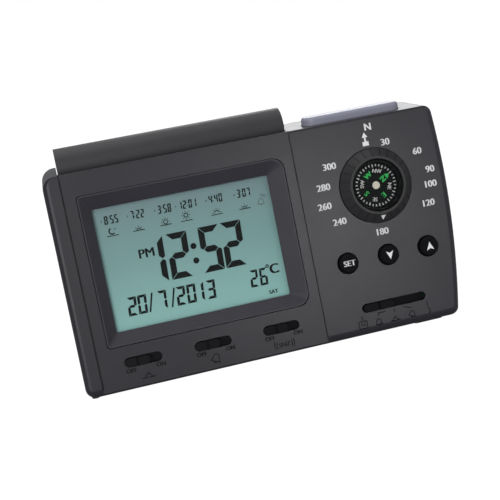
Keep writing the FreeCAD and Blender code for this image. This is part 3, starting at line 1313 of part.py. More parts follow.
# Top button
def snooze():
    under = "0 - wall - slide_gap"
    grip = f"(snooze_rear - snooze_front) / {ROUND}"
    cap = top_plate("snooze_cap", ("snooze_left", "snooze_right"), ("snooze_front", "snooze_rear"),
                    (f"{under} - overlap", "snooze_out"), grip)
    top = value("snooze_out") - 1e-6
    cap = filleted("snooze_cap_rounded", cap, "snooze_round", lambda edge: edge.BoundBox.ZMin > top)
    flange = top_plate("snooze_plate", ("snooze_left - snooze_flange", "snooze_right + snooze_flange"),
                       ("snooze_front - snooze_flange", "snooze_rear + snooze_flange"),
                       (f"{under} - snooze_flange_thick", under), f"{grip} + snooze_flange")
    node(joined("snooze_button", [cap, flange]), "snooze_button", LEVEL)
    middle_x, middle_y = "(snooze_left + snooze_right) / 2", "(snooze_front + snooze_rear) / 2"
    top_plunger = f"{under} - snooze_flange_thick - snooze_travel - slide_gap"
    top_body = f"{top_plunger} - snooze_plunger_height"
    top_board = f"{top_body} - snooze_switch_height"
    half = "snooze_switch / 2"
    body = joined("push_switch", [
        box("push_body", (f"{middle_x} - {half}", f"{middle_x} + {half}"),
            (f"{middle_y} - {half}", f"{middle_y} + {half}"),
            (top_board, top_body)),
        pin_up("push_plunger", middle_x, middle_y, "snooze_plunger",
               (f"{top_body} - overlap", top_plunger)),
    ])
    node(body, "snooze_switch", LEVEL)
    board = box("snooze_board_box", ("snooze_board_left", "snooze_board_right"),
                ("snooze_front + snooze_board_shift", "snooze_rear + snooze_board_shift"),
                (f"{top_board} - board_thick", top_board))
    node(alone("snooze_board", board), "snooze_board", LEVEL)


# Speaker
def speaker():
    face = SPEAKER_FACE
    frame = turned("speaker_frame", [
        ("speaker_radius", face),
        ("speaker_radius", f"{face} - speaker_rim"),
        ("basket_mouth", f"{face} - speaker_rim"),
        ("magnet_radius + basket_foot", BASKET_BACK),
        ("basket_eye", BASKET_BACK),
        ("basket_eye", f"{BASKET_BACK} + basket_sheet"),
        ("magnet_radius + basket_foot - overlap", f"{BASKET_BACK} + basket_sheet"),
        ("basket_mouth - basket_sheet", f"{face} - speaker_rim + cone_thick"),
        ("basket_mouth - basket_sheet", face),
    ])
    node(frame, "speaker_frame", at("speaker_x", "speaker_z"))
    cone = turned("speaker_cone", [
        ("speaker_radius - cone_margin", face),
        ("speaker_radius - cone_margin", f"{face} - cone_thick"),
        ("cap_radius", f"{face} - cone_deep"),
        ("0", f"{face} - cone_deep + cap_rise"),
        ("0", f"{face} - cone_deep + cap_rise + cone_thick"),
        ("cap_radius", f"{face} - cone_deep + cone_thick"),
        ("speaker_radius - cone_margin - cone_lip", face),
    ])
    node(cone, "speaker_cone", at("speaker_x", "speaker_z"))
    magnet = disc("magnet_disc", "speaker_x", "speaker_z", "magnet_radius",
                  (f"{face} - speaker_deep", BASKET_BACK))
    node(alone("speaker_magnet", magnet), "speaker_magnet")
    ring = cut("speaker_gasket",
               disc("gasket_disc", "speaker_x", "speaker_z", "speaker_radius", (face, INNER_BACK)),
               [disc("gasket_eye", "speaker_x", "speaker_z", "grille_radius + gasket_margin",
                     (f"{face} - past", FAR))])
    node(ring, "speaker_gasket")


# Power
def batteries():
    """Two cells side by side, laid head to tail."""
    cells = []
    end = "cell_start + cell_length + nub_length"
    for k, z in enumerate(CELLS):
        if k == 0:
            body, nub = ("cell_start", f"{end} - nub_length"), (f"{end} - nub_length - overlap", end)
        else:
            body, nub = ("cell_start + nub_length", end), ("cell_start",
                                                           "cell_start + nub_length + overlap")
        cells.append(joined(f"cell_{k}", [rod(f"cell_body_{k}", body, "cell_depth", z, "cell_radius"),
                                          rod(f"cell_nub_{k}", nub, "cell_depth", z, "nub_radius")]))
    node(joined("batteries", cells), "batteries", count=2)


def battery_contacts():
    """Plates at both ends of the bay, one for each cell end."""
    half = "contact_side / 2"
    plates = []
    for k, z in enumerate(CELLS):
        for name, start in (("left", BAY_LEFT), ("right", "cell_start + cell_length + nub_length")):
            plates.append(box(f"contact_{name}_{k}", (start, f"{start} + contact_thick"),
                              (f"cell_depth - {half}", f"cell_depth + {half}"),
                              (f"{z} - {half}", f"{z} + {half}")))
    node(joined("battery_contacts", plates), "battery_contacts", count=4)


def battery_springs():
    """Spiral springs that press the cells against the right-hand contacts."""
    springs = []
    for k, z in enumerate(CELLS):
        helix = doc.addObject("Part::Helix", f"spring_path_{k}")
        helix.Placement.Rotation = ACROSS
        bind(helix, "Radius", "spring_radius")
        bind(helix, "Height", SPRING_ROOM)
        bind(helix, "Pitch", f"({SPRING_ROOM}) / {SPRING_TURNS}")
        bind(helix, "Placement.Base.x", f"{BAY_LEFT} + contact_thick + spring_wire + spring_gap")
        bind(helix, "Placement.Base.y", "cell_depth")
        bind(helix, "Placement.Base.z", z)
        ring = doc.addObject("Part::Circle", f"spring_section_{k}")
        bind(ring, "Radius", "spring_wire")
        ring.Placement.Rotation = Rotation(Vector(0, 0, 1), Vector(0, 1, 0))
        bind(ring, "Placement.Base.x", f"{BAY_LEFT} + contact_thick + spring_wire + spring_gap")
        bind(ring, "Placement.Base.y", "cell_depth")
        bind(ring, "Placement.Base.z", f"{z} - spring_radius")
        coil = doc.addObject("Part::Sweep", f"spring_{k}")
        coil.Sections = [ring]
        coil.Spine = (helix, ["Edge1"])
        coil.Solid = True
        coil.Frenet = True
        springs.append(coil)
    node(joined("battery_springs", springs), "battery_springs", count=2)


front_case()
rear_case()
battery_cover()
case_screws()
foot_pads()
stand()
stand_pad()
stand_pins()
display_frame()
window_plate("display_lens", "lens_margin", (WINDOW_FRONT, f"{WINDOW_FRONT} + lens_thick"))
window_plate("display_glass", "glass_margin", (BEZEL_BACK, GLASS_BACK))
window_plate("light_guide", "glass_margin - guide_short", (GLASS_BACK, BOARD_FRONT),
             "strip_width + strip_gap")
display_strip()
main_board()
board_parts()
slide_switches()
knobs()
key_board()
keypad()
buttons()
dial_ring()
dial_retainer()
compass()
snooze()
speaker()
batteries()
battery_contacts()
battery_springs()
doc.recompute()

# Checks and export
for item in doc.Objects:
    if {"Invalid", "Error"} & set(item.State):
        raise RuntimeError(f"{item.Label} could not be made: {item.State}")
for item, count in NODES:
    shape = item.Shape
    if shape.isNull() or not shape.isValid() or len(shape.Solids) != count:
        raise RuntimeError(f"{item.Label}: {len(shape.Solids)} solids where {count} are wanted, or not valid")

# The origin is the middle of the space that the clock stands on
whole = Part.makeCompound([item.Shape for item, count in NODES]).optimalBoundingBox(False, False)
shift = Vector(-(whole.XMin + whole.XMax) / 2, -(whole.YMin + whole.YMax) / 2, -whole.ZMin)
for item, count in NODES:
    item.Placement = Placement(shift, Rotation()).multiply(item.Placement)

os.makedirs("parts", exist_ok=True)
for item, count in NODES:
    item.Shape.exportStep(f"parts/{item.Label}.step")
    print(f"{item.Label}: {count} solid, {item.Shape.Volume:.1f} mm3")
print(f"shift {shift.x:.4f} {shift.y:.4f} {shift.z:.4f}")
print(f"size {whole.XLength:.3f} {whole.YLength:.3f} {whole.ZLength:.3f}, {len(NODES)} nodes")
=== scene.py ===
"""Azan clock, dressed: finishes, display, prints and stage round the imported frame.

Marks are laid out on the clock's front face, in millimetres: x to the right from the case's
left side, z up along the panel from its lower edge. FACE turns that layout into the row frame,
in metres.
"""

import json
import math

import bmesh
import bpy
from bpy.props import FloatProperty, FloatVectorProperty, PointerProperty
from mathutils import Matrix, Vector


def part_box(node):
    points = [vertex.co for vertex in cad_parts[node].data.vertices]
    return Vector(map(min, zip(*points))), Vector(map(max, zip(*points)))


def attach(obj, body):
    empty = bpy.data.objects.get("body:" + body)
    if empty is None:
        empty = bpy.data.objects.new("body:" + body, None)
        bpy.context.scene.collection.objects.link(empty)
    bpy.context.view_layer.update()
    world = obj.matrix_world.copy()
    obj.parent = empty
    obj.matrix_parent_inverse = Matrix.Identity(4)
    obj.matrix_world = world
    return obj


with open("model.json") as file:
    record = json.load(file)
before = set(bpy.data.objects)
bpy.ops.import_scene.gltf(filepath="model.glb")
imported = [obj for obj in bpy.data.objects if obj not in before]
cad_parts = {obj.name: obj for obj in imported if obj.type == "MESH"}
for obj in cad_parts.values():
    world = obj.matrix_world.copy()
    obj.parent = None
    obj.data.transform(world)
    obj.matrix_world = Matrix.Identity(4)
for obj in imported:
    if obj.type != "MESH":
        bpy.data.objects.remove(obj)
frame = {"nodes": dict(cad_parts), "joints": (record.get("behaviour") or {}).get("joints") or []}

bl_info = {
    "name": "Azan clock",
    "version": (1, 0, 0),
    "blender": (4, 5, 0),
    "location": "View3D > Sidebar > Azan clock",
    "description": "Finishes, display, prints and stage of a leaning desk clock",
    "category": "Object",
}

MM = 0.001

# The front face, from the dial's joint
DIAL_JOINT = next(joint for joint in frame["joints"] if joint["name"] == "dial_turn")
INWARD = Vector(DIAL_JOINT["axis"])
ACROSS = Vector((1, 0, 0))
UP = ACROSS.cross(INWARD)
DIAL_X, DIAL_Z = 121.5, 56.1
DIAL_CENTRE = Vector(DIAL_JOINT["pos_m"])
PANEL_CORNER = DIAL_CENTRE - ACROSS * DIAL_X * MM - UP * DIAL_Z * MM
FACE = Matrix.Translation(PANEL_CORNER) @ Matrix((
    (ACROSS.x, UP.x, -INWARD.x, 0),
    (ACROSS.y, UP.y, -INWARD.y, 0),
    (ACROSS.z, UP.z, -INWARD.z, 0),
    (0, 0, 0, 1),
)) @ Matrix.Scale(MM, 4)

# Levels of the marks, in front of (above zero) or behind the panel face, and their thickness
SECTION_FACE = -0.8
LCD_FACE = -5.9
CAP_FACE = 2.4
CARD_FACE = 0.4
INK = 0.03
PRINT = 0.05

# Display. A row of digits has its base, height, width and stroke, and a digit its left side.
# A word, a letter or a bell has the x and z of its middle and its height.
LCD_LOW, LCD_HIGH = 22.1, 67.9
TIME_SLANT, DATE_SLANT = 0.035, 0.062
TIME_BASE, TIME_TALL, TIME_WIDE, TIME_BAR = 36.6, 17.1, 7.9, 2.3
TIME_DIGITS = (("1", 30.3), ("2", 39.4), ("5", 51.7), ("2", 60.2))
TIME_WORD = (32.0, 48.3, 3.5)
COLON_X, COLON_LOW, COLON_HIGH, COLON_DOT = 49.55, 41.9, 47.4, 1.15
DATE_BASE, DATE_TALL, DATE_WIDE, DATE_BAR = 26.7, 7.0, 3.4, 0.98
DATE_DIGITS = (("2", 21.0), ("0", 24.8), ("7", 32.3), ("2", 39.4), ("0", 43.4), ("1", 46.5),
               ("3", 50.9))
DATE_SLASHES, SLASH_RUN, SLASH_BAR = (29.0, 37.4), 1.9, 0.62
DAY_WORD = (76.1, 24.2, 1.5)
HEAT_BASE, HEAT_TALL, HEAT_WIDE, HEAT_BAR = 27.4, 6.5, 3.0, 0.88
HEAT_DIGITS = (("2", 68.0), ("6", 71.7))
HEAT_LETTER = (78.0, 32.6, 3.8)
HEAT_RING, HEAT_RING_BAR = (75.5, 34.2, 0.5), 0.42
OFF_BELL, OFF_BAR = (78.0, 58.6, 2.8), 0.26
OFF_WAVES, OFF_WAVE_RADII = (78.0, 58.9), (1.9, 2.5)

# The six times of the upper row: digits, left side, number of hour digits
PRAYER_TIMES = (("855", 19.1, 1), ("722", 28.8, 1), ("358", 39.0, 1), ("1201", 46.9, 2),
                ("440", 58.5, 1), ("307", 69.3, 1))
MORNING_TIMES = (4, 5)
PRAYER_BASE, PRAYER_TALL, PRAYER_WIDE, PRAYER_BAR = 61.6, 3.1, 1.35, 0.48
PRAYER_STEP, PRAYER_COLON = PRAYER_WIDE + 0.32, 0.5
SMALL_COLON_SHIFT, SMALL_COLON_LEVELS, SMALL_DOT = 0.08, (0.9, 2.1), 0.16
HALF_DAY_SHIFT, HALF_DAY_LEVEL, HALF_DAY_TALL = -0.9, 1.3, 0.9

# The sky mark under each time: horizon, moon with a star, and the sun's level, radius and rays
SKY_SHIFT, SKY_LEVEL, SKY_BAR = 2.2, -2.7, 0.32
HORIZON_HALF, HORIZON_DROP = 2.2, 1.7
MOON_RADIUS, MOON_BAR = 1.1, 0.5
STAR_SHIFT, STAR_LIFT, STAR_RADIUS = 1.1, 0.6, 0.25
SUN_LEVELS = {1: -HORIZON_DROP, 2: -0.6, 3: 0.3, 4: -1.0, 5: -HORIZON_DROP}
WHOLE_SUNS = (2, 3)
SUN_RADIUS, RAY_INNER, RAY_OUTER = 0.75, 1.15, 1.65

# Segments of a digit: named as usual, from the top clockwise, the middle last
DIGITS = {
    "0": "abcdef", "1": "bc", "2": "abged", "3": "abgcd", "4": "fgbc", "5": "afgcd",
    "6": "afgedc", "7": "abc", "8": "abcdefg",
}

# Numbers round the dial: bearing, centre x, centre z
BEARINGS = (("30", 128.3, 71.4), ("60", 140.2, 65.7), ("90", 144.0, 58.0), ("100", 143.0, 52.4),
            ("120", 140.8, 45.4), ("180", 120.6, 38.3), ("240", 105.0, 45.2), ("260", 100.4, 51.9),
            ("280", 101.3, 59.0), ("300", 105.0, 66.3))
NORTH_LETTER = (122.6, 78.2, 2.8)
# The arrow under the letter: lower level, upper level and half width of its parts
ARROW_X = 120.7
ARROW_FOOT, ARROW_SHAFT, ARROW_HEAD = (71.4, 73.0, 1.2), (72.9, 74.9, 0.35), (74.6, 76.5, 1.1)

# The ring's slope, by radius and level, and the pointer on it
SLOPE_INNER, SLOPE_HIGH, SLOPE_OUTER, SLOPE_LOW = 10.9, 3.4, 14.1, 0.5
POINTER_INNER, POINTER_OUTER, POINTER_HALF = 11.5, 13.2, 1.0

# Compass card: its turn clockwise, then the letters' bearings and radii, the tip and the ticks
CARD_TURN = 59.5
GREEN_LETTERS, GREEN_TALL = (("N", 0, 3.6), ("E", 90, 4.7), ("S", 180, 4.7), ("W", 270, 4.7)), 2.1
WHITE_LETTERS, WHITE_TALL = (("NE", 45), ("SE", 135), ("SW", 225), ("NW", 315)), 1.5
WHITE_RADIUS = 5.3
TIP_INNER, TIP_OUTER, TIP_HALF = 5.1, 6.9, 1.1
TICK_OUTER, TICK_INNER, LONG_TICK_INNER, TICK_BAR = 8.0, 7.2, 6.9, 0.36
TICK_EVERY, LONG_TICK_EVERY = 10, 30
DOT_RADIUS, DOT_LIFT = 1.45, 0.2

# Round buttons, and the arrowhead on two of them, from the button's middle
BUTTONS = {"set": 105.1, "down": 121.3, "up": 137.5}
BUTTON_ROW = 29.3
SET_TALL = 2.2
HEAD_TIP, HEAD_NOTCH, HEAD_TAIL, HEAD_HALF = 1.7, 0.75, 1.5, 1.45

# Labels of the short slots
SLOTS = (22.7, 49.0, 75.3)
OFF_SHIFT, OFF_LEVEL, ON_SHIFT, ON_LEVEL = -5.0, 7.65, 6.0, 7.75
LABEL_BAR = 0.3
SLOT_DOME = (23.4, 4.0, 5.0)
SLOT_BELL, SLOT_BELL_TURN = (48.9, 5.2, 3.8), 22
SLOT_WORD = (75.3, 4.4, 1.7)
WAVE_LEVEL, WAVE_RADII, WAVE_SWEEP, WAVE_SPREAD = 4.5, (3.0, 3.8), 50, 0.1

# Labels of the long slot: a letter in a box, a bell, a dome, a turned bell, a bow and the lines
FUNCTION_LETTER = (106.5, 5.0, 1.7)
FUNCTION_BELL, FUNCTION_DOME = (112.8, 4.8, 2.9), (119.5, 4.0, 4.2)
FUNCTION_TURNED_BELL, FUNCTION_BELL_TURN = (126.4, 5.0, 2.9), 20
FUNCTION_BOW = (132.4, 4.9, 1.3)
FUNCTION_LINES = (
    (104.9, 3.6, 108.1, 3.6), (108.1, 3.6, 108.1, 6.4), (108.1, 6.4, 104.9, 6.4),
    (104.9, 6.4, 104.9, 3.6), (106.5, 6.8, 106.5, 8.4), (113.0, 7.2, 113.0, 8.2),
    (113.0, 8.2, 116.2, 8.2), (119.6, 7.2, 119.6, 8.6), (126.6, 7.4, 123.4, 8.4),
    (133.0, 6.6, 133.0, 8.6),
)

# Shades of the case's colour: the frame's is lighter, as painted light on its slopes, and the
# labels' is darker, as painted shade in the engraved lettering
FRAME_PAINTED_LIGHT, LABEL_PAINTED_SHADE = 1.6, 0.2

# Camera fitted to the photograph
CAMERA_PLACE = Vector((-67.71, -349.58, 129.38)) * MM
CAMERA_RIGHT = Vector((0.963022, -0.217447, -0.159078))
CAMERA_DOWN = Vector((-0.205359, -0.210221, -0.955842))
CAMERA_FORWARD = Vector((0.174404, 0.953165, -0.247101))
CAMERA_LENS = 68.78
CAMERA_SENSOR = 36.0
CAMERA_NEAR = 0.01

# Stage: the floor's colour, its glow and the share of it, and the surroundings that light the clock
FLOOR_COLOR, FLOOR_GLOW, GLOW_SHARE = (0.45, 0.45, 0.45), 1.15, 0.88
SOFT_COLOR, SOFT_STRENGTH = (0.93, 0.95, 1.0, 1), 0.42
# Lamps, aimed at one point: place and width in metres, power in watts
AIM = Vector((0, 0, 0.05))
LAMPS = (
    ("top_softbox", (-0.1, 0.1, 1.0), 0.9, 4.0),
    ("front_softbox", (-0.6, -1.2, 0.3), 0.8, 10.0),
    ("rear_softbox", (0.5, 1.3, 0.7), 0.8, 8.0),
    ("sheen_light", (0.304, -1.118, 0.172), 0.13, 2.1),
    ("side_softbox", (0.95, -0.5, 0.5), 0.6, 1.5),
)
SHEEN_LAMP = "sheen_light"
SHEEN_NODES = ("front_case", "display_frame", "dial_ring")

# Colour sockets of a mix node, which keeps a set of sockets for each kind of value
MIX_A, MIX_B, MIX_RESULT = 6, 7, 2

def tint(name, description, default):
    return FloatVectorProperty(name=name, description=description, subtype="COLOR", size=3,
                               min=0, max=1, default=default)


# Sizes and colours that a user would change
class ClockColors(bpy.types.PropertyGroup):
    case: tint("Case", "Textured plastic of the shells", (0.0175, 0.0162, 0.0208))
    # The stand's colour is raised above the case's, as painted light on its top
    bar: tint("Stand", "Plastic of the folding stand", (0.040, 0.039, 0.041))
    top_button: tint("Top button", "Plastic of the long top button", (0.250, 0.250, 0.310))
    # The display's colours carry painted light: darker above as painted shade from the frame,
    # lighter below as painted light
    display_high_painted_shade: tint("Display, above", "Display glass at its upper edge", (0.233, 0.350, 0.362))
    display_middle: tint("Display, middle", "Display glass at half height", (0.248, 0.442, 0.424))
    display_low_painted_light: tint("Display, below", "Display glass at its lower edge", (0.335, 0.620, 0.578))
    ink: tint("Print", "White print on the panel and the buttons", (0.80, 0.80, 0.79))
    compass_green: tint("Compass letters", "Green marks of the compass card", (0.06, 0.60, 0.14))


class ClockSizes(bpy.types.PropertyGroup):
    number_height: FloatProperty(name="Numbers", description="Height of the numbers round the dial",
                                 unit="LENGTH", default=0.0026, min=0.001, max=0.004)
    label_height: FloatProperty(name="Switch labels",
                                description="Height of the labels beside the switches",
                                unit="LENGTH", default=0.0016, min=0.001, max=0.003)
    floor_reach: FloatProperty(name="Floor", description="Half width of the floor",
                               unit="LENGTH", default=6.0, min=1.0, max=20.0)


def colors():
    return bpy.context.scene.clock_colors


def sizes():
    return bpy.context.scene.clock_sizes


# Materials
class Finish:
    """A node material round one Principled shader."""

    def __init__(self, name, color, roughness, metallic=0.0, gloss=0.5):
        self.material = bpy.data.materials.new(name)
        self.material.use_nodes = True
        self.tree = self.material.node_tree
        self.shader = next(n for n in self.tree.nodes if n.type == "BSDF_PRINCIPLED")
        self.shader.inputs["Base Color"].default_value = (*color, 1)
        self.shader.inputs["Roughness"].default_value = roughness
        self.shader.inputs["Metallic"].default_value = metallic
        self.shader.inputs["Specular IOR Level"].default_value = gloss
        self.place = self.node("ShaderNodeTexCoord").outputs["Object"]

    def node(self, kind, **values):
        node = self.tree.nodes.new(kind)
        for name, value in values.items():
            setattr(node, name, value)
        return node

    def join(self, output, entry):
        self.tree.links.new(output, entry)

    def noise(self, size, detail=2.0, stretch=(1, 1, 1)):
        """Noise whose grains are about one size, in metres."""
        turn = self.node("ShaderNodeMapping")
        turn.inputs["Scale"].default_value = stretch
        self.join(self.place, turn.inputs["Vector"])
        noise = self.node("ShaderNodeTexNoise")
        noise.inputs["Scale"].default_value = 1 / size
        noise.inputs["Detail"].default_value = detail
        self.join(turn.outputs["Vector"], noise.inputs["Vector"])
        return noise.outputs["Fac"]

    def ramp(self, value, stops):
        """A colour ramp from pairs of position and colour."""
        ramp = self.node("ShaderNodeValToRGB")
        band = ramp.color_ramp
        while len(band.elements) < len(stops):
            band.elements.new(0.5)
        for element, (position, color) in zip(band.elements, stops):
            element.position = position
            element.color = (*color, 1)
        self.join(value, ramp.inputs["Fac"])
        return ramp.outputs["Color"]

    def span(self, value, start, end, low=0.0, high=1.0):
        """Map one range of numbers onto another."""
        node = self.node("ShaderNodeMapRange")
        ends = {"From Min": start, "From Max": end, "To Min": low, "To Max": high}
        for name, number in ends.items():
            node.inputs[name].default_value = number
        self.join(value, node.inputs["Value"])
        return node.outputs["Result"]

    def colored(self, output):
        self.join(output, self.shader.inputs["Base Color"])
        return self

    def mottled(self, size, change):
        """Vary the base colour a little, up and down."""
        base = self.shader.inputs["Base Color"].default_value[:3]
        dark = tuple(c * (1 - change) for c in base)
        light = tuple(min(1, c * (1 + change)) for c in base)
        return self.colored(self.ramp(self.noise(size, 4.0), ((0.3, dark), (0.7, light))))

    def rough(self, size, low, high, stretch=(1, 1, 1)):
        """Vary the roughness, by the middle half of a noise."""
        spots = self.span(self.noise(size, 3.0, stretch), 0.25, 0.75, low, high)
        self.join(spots, self.shader.inputs["Roughness"])
        return self

    def grain(self, size, height, detail=2.0, stretch=(1, 1, 1)):
        """Fine relief of a moulded or brushed surface, height in metres."""
        bump = self.node("ShaderNodeBump")
        bump.inputs["Distance"].default_value = height
        self.join(self.noise(size, detail, stretch), bump.inputs["Height"])
        self.join(bump.outputs["Normal"], self.shader.inputs["Normal"])
        return self

    def along(self, direction, start, end):
        """Where a point lies between two places along a direction, from 0 to 1."""
        dot = self.node("ShaderNodeVectorMath", operation="DOT_PRODUCT")
        dot.inputs[1].default_value = direction
        self.join(self.place, dot.inputs[0])
        return self.span(dot.outputs["Value"], start, end)


MADE = {}


def made_once(make):
    """Keep each named material, so that a second call gives the first one again."""
    def kept(name, *values, **named):
        if name not in MADE:
            MADE[name] = make(name, *values, **named).material
        return MADE[name]

    return kept


def shaded(color, share):
    """A colour made darker or lighter by one factor."""
    return tuple(channel * share for channel in color)


@made_once
def moulded(name, color, roughness=0.5, grain=0.00035, height=0.00002, change=0.06, gloss=0.28):
    """Moulded plastic with a fine spark-eroded grain."""
    finish = Finish(name, color, roughness, gloss=gloss).mottled(0.012, change)
    return finish.rough(0.004, roughness - 0.01, roughness + 0.02).grain(grain, height)


@made_once
def rubber(name, color):
    finish = Finish(name, color, 0.78).mottled(0.003, 0.12).rough(0.002, 0.7, 0.86)
    finish.grain(0.0002, 0.00001).shader.inputs["Sheen Weight"].default_value = 0.15
    return finish


@made_once
def metal(name, color, roughness, stretch=(1, 1, 1)):
    """Plated metal, brushed where it is stretched."""
    finish = Finish(name, color, roughness, 1.0).mottled(0.002, 0.1)
    finish.rough(0.0012, roughness - 0.06, roughness + 0.1, stretch)
    return finish.grain(0.00025, 0.000004, 2.0, stretch)


@made_once
def board_mask(name):
    """Green solder mask with lighter copper lanes under it."""
    finish = Finish(name, (0.02, 0.13, 0.05), 0.35)
    lanes = finish.node("ShaderNodeTexWave", wave_type="BANDS", bands_direction="X")
    lanes.inputs["Scale"].default_value = 180
    lanes.inputs["Distortion"].default_value = 9
    lanes.inputs["Detail Scale"].default_value = 0.6
    finish.join(finish.place, lanes.inputs["Vector"])
    lane = (0.05, 0.24, 0.09)
    finish.colored(finish.ramp(lanes.outputs["Fac"], (
        (0.0, (0.02, 0.12, 0.045)), (0.62, (0.02, 0.13, 0.05)), (0.7, lane), (1.0, lane))))
    return finish.rough(0.003, 0.28, 0.45)


@made_once
def striped(name):
    """Dark and pale layers of a contact strip."""
    finish = Finish(name, (0.4, 0.4, 0.4), 0.7)
    bands = finish.node("ShaderNodeTexWave", wave_type="BANDS", bands_direction="X")
    bands.inputs["Scale"].default_value = 900
    finish.join(finish.place, bands.inputs["Vector"])
    layers = ((0.4, (0.03,) * 3), (0.6, (0.62,) * 3))
    return finish.colored(finish.ramp(bands.outputs["Fac"], layers))


@made_once
def clear(name, alpha):
    """Clear acrylic that lets most of the light straight through."""
    finish = Finish(name, (0.02, 0.03, 0.03), 0.06)
    finish.shader.inputs["Alpha"].default_value = alpha
    finish.shader.inputs["Coat Weight"].default_value = 0.4
    finish.shader.inputs["Coat Roughness"].default_value = 0.03
    return finish.rough(0.02, 0.04, 0.12)


@made_once
def display_teal(name):
    """Reflective display: blue-grey above, greener below, with faint cells; painted shade darkens
    it towards the top, where the frame shades it, and painted light brightens it towards the
    bottom.
    """
    finish = Finish(name, (0.25, 0.4, 0.38), 0.42, gloss=0.2)
    corner = UP.dot(PANEL_CORNER)
    height = finish.along(UP, corner + LCD_LOW * MM, corner + LCD_HIGH * MM)
    # Painted shade towards the top and painted light towards the bottom, along the panel's height
    painted_shades = finish.ramp(height, ((0.0, colors().display_low_painted_light), (0.55, colors().display_middle),
                                  (1.0, colors().display_high_painted_shade)))
    haze = finish.node("ShaderNodeMix", data_type="RGBA", blend_type="MULTIPLY")
    haze.inputs["Factor"].default_value = 1.0
    finish.join(painted_shades, haze.inputs[MIX_A])
    cells = finish.ramp(finish.noise(0.03, 1.0), ((0.2, (0.97,) * 3), (0.8, (1.0,) * 3)))
    finish.join(cells, haze.inputs[MIX_B])
    return finish.colored(haze.outputs[MIX_RESULT]).grain(0.00012, 0.000002)


@made_once
def ink(name, color):
    """Printed ink, a little uneven."""
    return Finish(name, color, 0.55, gloss=0.1).mottled(0.001, 0.05).rough(0.0008, 0.45, 0.65)


def steel():
    return metal("steel_zinc", (0.55, 0.55, 0.57), 0.32)


def white_print():
    return ink("print_white", colors().ink)


def paint(material, *nodes):
    """Give CAD nodes their finish."""
    for name in nodes:
        mesh = frame["nodes"][name].data
        if not mesh.materials:
            mesh.materials.append(material)
        for k in range(len(mesh.materials)):
            mesh.materials[k] = material


# Marks on the front face
def bar(bm, x0, z0, x1, z1, wide):
    """A straight stroke between two points."""
    way = Vector((x1 - x0, z1 - z0, 0))
    middle = Matrix.Translation(((x0 + x1) / 2, (z0 + z1) / 2, 0))
    turn = Matrix.Rotation(math.atan2(way.y, way.x), 4, "Z")
    bmesh.ops.create_grid(bm, x_segments=1, y_segments=1, size=0.5,
                          matrix=middle @ turn @ Matrix.Diagonal((way.length, wide, 1, 1)))


def bow(bm, x, z, radius, wide, start, sweep, steps=16):
    """A curved stroke round a centre, angles in degrees."""
    begin = math.radians(start)
    ends = [bm.verts.new((x + r * math.cos(begin), z + r * math.sin(begin), 0))
            for r in (radius - wide / 2, radius + wide / 2)]
    edge = bm.edges.new(ends)
    bmesh.ops.spin(bm, geom=[*ends, edge], cent=(x, z, 0), axis=(0, 0, 1),
                   angle=math.radians(sweep), steps=steps, use_merge=sweep >= 360)


def dot(bm, x, z, radius, steps=24):
    bmesh.ops.create_circle(bm, cap_ends=True, segments=steps, radius=radius,
                            matrix=Matrix.Translation((x, z, 0)))


def patch(bm, points):
    """A flat piece from a few corners."""
    bm.faces.new([bm.verts.new((x, z, 0)) for x, z in points])


def digit(bm, sign, x, z, wide, tall, thick, slant=0.0):
    """Segments of one display digit, mitred at the corners."""
    gap = thick * 0.05
    half, low = tall / 2, tall
    top = [(gap, low), (wide - gap, low), (wide - thick - gap, low - thick),
           (thick + gap, low - thick)]
    side = [(0, low - gap), (thick, low - thick - gap), (thick, half + thick / 2 + gap),
            (thick * 0.45, half + gap), (0, half + thick * 0.35)]
    middle = [(thick * 0.5 + gap, half), (thick + gap, half + thick / 2),
              (wide - thick - gap, half + thick / 2), (wide - thick * 0.5 - gap, half),
              (wide - thick - gap, half - thick / 2), (thick + gap, half - thick / 2)]

    def flipped(points, across, upright):
        return [(wide - u if across else u, tall - v if upright else v) for u, v in points]

    shapes = {
        "a": top, "d": flipped(top, False, True), "f": side, "b": flipped(side, True, False),
        "e": flipped(side, False, True), "c": flipped(side, True, True), "g": middle,
    }
    for name in DIGITS[sign]:
        patch(bm, [(x + u + slant * v, z + v) for u, v in shapes[name]])


def lettering(bm, words, x, z, tall, turn=0.0, weight=0.0):
    """Plain letters or numbers, centred, by capital height in millimetres, turned clockwise.

    A weight above zero makes them bold, by a second copy beside the first.
    """
    capital = 0.73  # of the font's size
    curve = bpy.data.curves.new("letters", "FONT")
    curve.body = words
    curve.size = tall / capital
    curve.align_x = "CENTER"
    curve.align_y = "CENTER"
    curve.resolution_u = 4
    holder = bpy.data.objects.new("letters", curve)
    bpy.context.scene.collection.objects.link(holder)
    mesh = bpy.data.meshes.new_from_object(holder)
    place = Matrix.Translation((x, z, 0)) @ Matrix.Rotation(-math.radians(turn), 4, "Z")
    mesh.transform(place @ Matrix.Translation((-weight, 0, 0)))
    bm.from_mesh(mesh)
    if weight:
        beside = Matrix.Translation(place.to_3x3() @ Vector((2 * weight, 0, 0)))
        mesh.transform(beside)
        bm.from_mesh(mesh)
    bpy.data.objects.remove(holder)
    bpy.data.curves.remove(curve)
    bpy.data.meshes.remove(mesh)


def bell(bm, x, z, tall, turn, wide):
    """Outline of a bell, turned clockwise in degrees."""
    part = bmesh.new()
    radius, mouth, rim = tall * 0.3, tall * 0.42, tall * 0.5
    shoulder, foot, clapper = tall * 0.12, -tall * 0.3, -tall * 0.32
    bow(part, 0, shoulder, radius, wide, 0, 180)
    for side in (-1, 1):
        bar(part, side * radius, shoulder, side * mouth, foot, wide)
    bar(part, -rim, foot, rim, foot, wide)
    bow(part, 0, clapper, tall * 0.12, wide, 180, 180)
    place = Matrix.Translation((x, z, 0)) @ Matrix.Rotation(-math.radians(turn), 4, "Z")
    bmesh.ops.transform(part, matrix=place, verts=part.verts)
    pour(part, bm)


